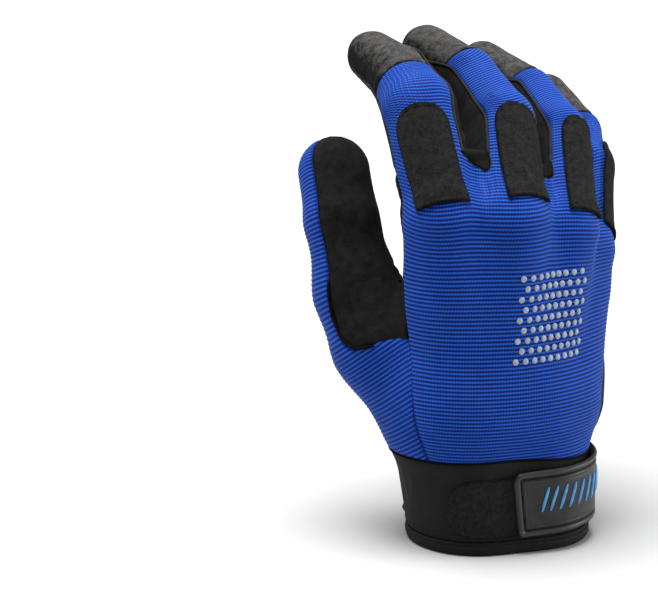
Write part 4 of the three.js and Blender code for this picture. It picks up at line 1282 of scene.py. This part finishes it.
# the base's degrees, and how far its edge lies in from its full height on the way to its point
BAND_END = [
    (108.7, 0), (112, 0), (118, 0), (124, 0), (130, 0.2), (136, 2.2), (142, 4.7), (146, 6.6), (147, 7.6),
]
BAND_LOW, BAND_HIGH = TAB_LOW + TAB_CLIMB + 1, TAB_HIGH + TAB_CLIMB - 1
band = wrapped(STRAP_LEAN, [(d, BAND_LOW + inset, BAND_HIGH - inset) for d, inset in BAND_END], 0.6)
height = 0.5 + 1.3 * rounded(band.edge, 0.9) - 0.3 * ridge(band.edge, 2, 0.4)
dress(build("strap_band_cloth", band, height, 1.3), knit, "strap_cloth", "strap_band")
low, high = BAND_LOW + 2.2, BAND_HIGH - 2.2
box = [
    (112, low), (128, low), (139, low + 5), (143, (low + high) / 2),
    (139, high - 5), (128, high), (112, high), (112, low),
]
lines = []
for path in (box, [(113, low + 1), (126, high - 1)], [(113, high - 1), (126, low + 1)]):
    sides = [np.linspace(a, b, 6)[:-1] for a, b in zip(path, path[1:])]
    lines.append(on_hand(np.concatenate([*sides, path[-1:]]), 1.75))
stitches("strap_band_stitches", lines, 2.2, 1.6, 0.17, "strap_cloth")

# Grip dots
# Small rubber dots printed on the back of the hand, in rows that are shifted by half a step in turn.
grey_print = print_colour("grey print", 1.2, (0.20, 0.24, 0.30), (0.30, 0.35, 0.42), 0.6)
DOT_ROWS, DOT_RADIUS, DOT_RISE = 9, 1.15, 0.45
DOT_DEGREES, DOT_PITCH = 8.4, 3.6
places = on_hand([
    (-18 + DOT_DEGREES * (j + (i % 2) / 2), 69.6 + DOT_PITCH * i)
    for i in range(DOT_ROWS) for j in range(DOT_ROWS)
], 0.1)
out = unit(uphill(places, ("thumb",))[0])
side = unit(np.cross(np.array([0, 0, 1.0]), out))
frames = np.stack([side * DOT_RADIUS, np.cross(out, side) * DOT_RADIUS, out * DOT_RISE], axis=1)
copies("grip_dots", small_ball(12, 6), places, frames, 60, grey_print, "ribbed_cloth")

# Floor and light
# A plain pale floor, and soft studio light from above, as from a wide softbox over the table.
bpy.ops.object.select_all(action="DESELECT")
bpy.ops.mesh.primitive_plane_add(size=14, location=(0, 0, 0))
floor = bpy.context.active_object
floor.name = "floor"
paper = Nodes("paper").finish(Base_Color=(0.44, 0.44, 0.44, 1), Roughness=0.9, Specular_IOR_Level=0.0)
floor.data.materials.append(paper)
bpy.context.scene.view_settings.view_transform = "Standard"
world = bpy.data.worlds.new("studio")
bpy.context.scene.world = world
world.use_nodes = True
background = world.node_tree.nodes["Background"]
background.inputs["Color"].default_value = (1, 1, 1, 1)
path_kind = world.node_tree.nodes.new("ShaderNodeLightPath")
strength = world.node_tree.nodes.new("ShaderNodeMapRange")
strength.inputs["To Min"].default_value = 0.25
strength.inputs["To Max"].default_value = 1.0
world.node_tree.links.new(path_kind.outputs["Is Camera Ray"], strength.inputs["Value"])
world.node_tree.links.new(strength.outputs[0], background.inputs["Strength"])


def softbox(name, towards, strength_of_light, width_degrees):
    light = bpy.data.lights.new(name, "SUN")
    light.energy = strength_of_light
    light.angle = math.radians(width_degrees)
    lamp = bpy.data.objects.new(name, light)
    bpy.context.scene.collection.objects.link(lamp)
    lamp.rotation_mode = "QUATERNION"
    lamp.rotation_quaternion = Vector(towards).to_track_quat("Z", "Y")


softbox("overhead softbox", (-0.1, 0.08, 1), 6.9, 40)
softbox("front softbox", (-0.5, -0.8, 0.35), 0.3, 60)
softbox("right softbox", (0.96, -0.28, 0.2), 2.4, 30)
softbox("left softbox", (-0.93, 0.37, 0.2), 0.9, 30)
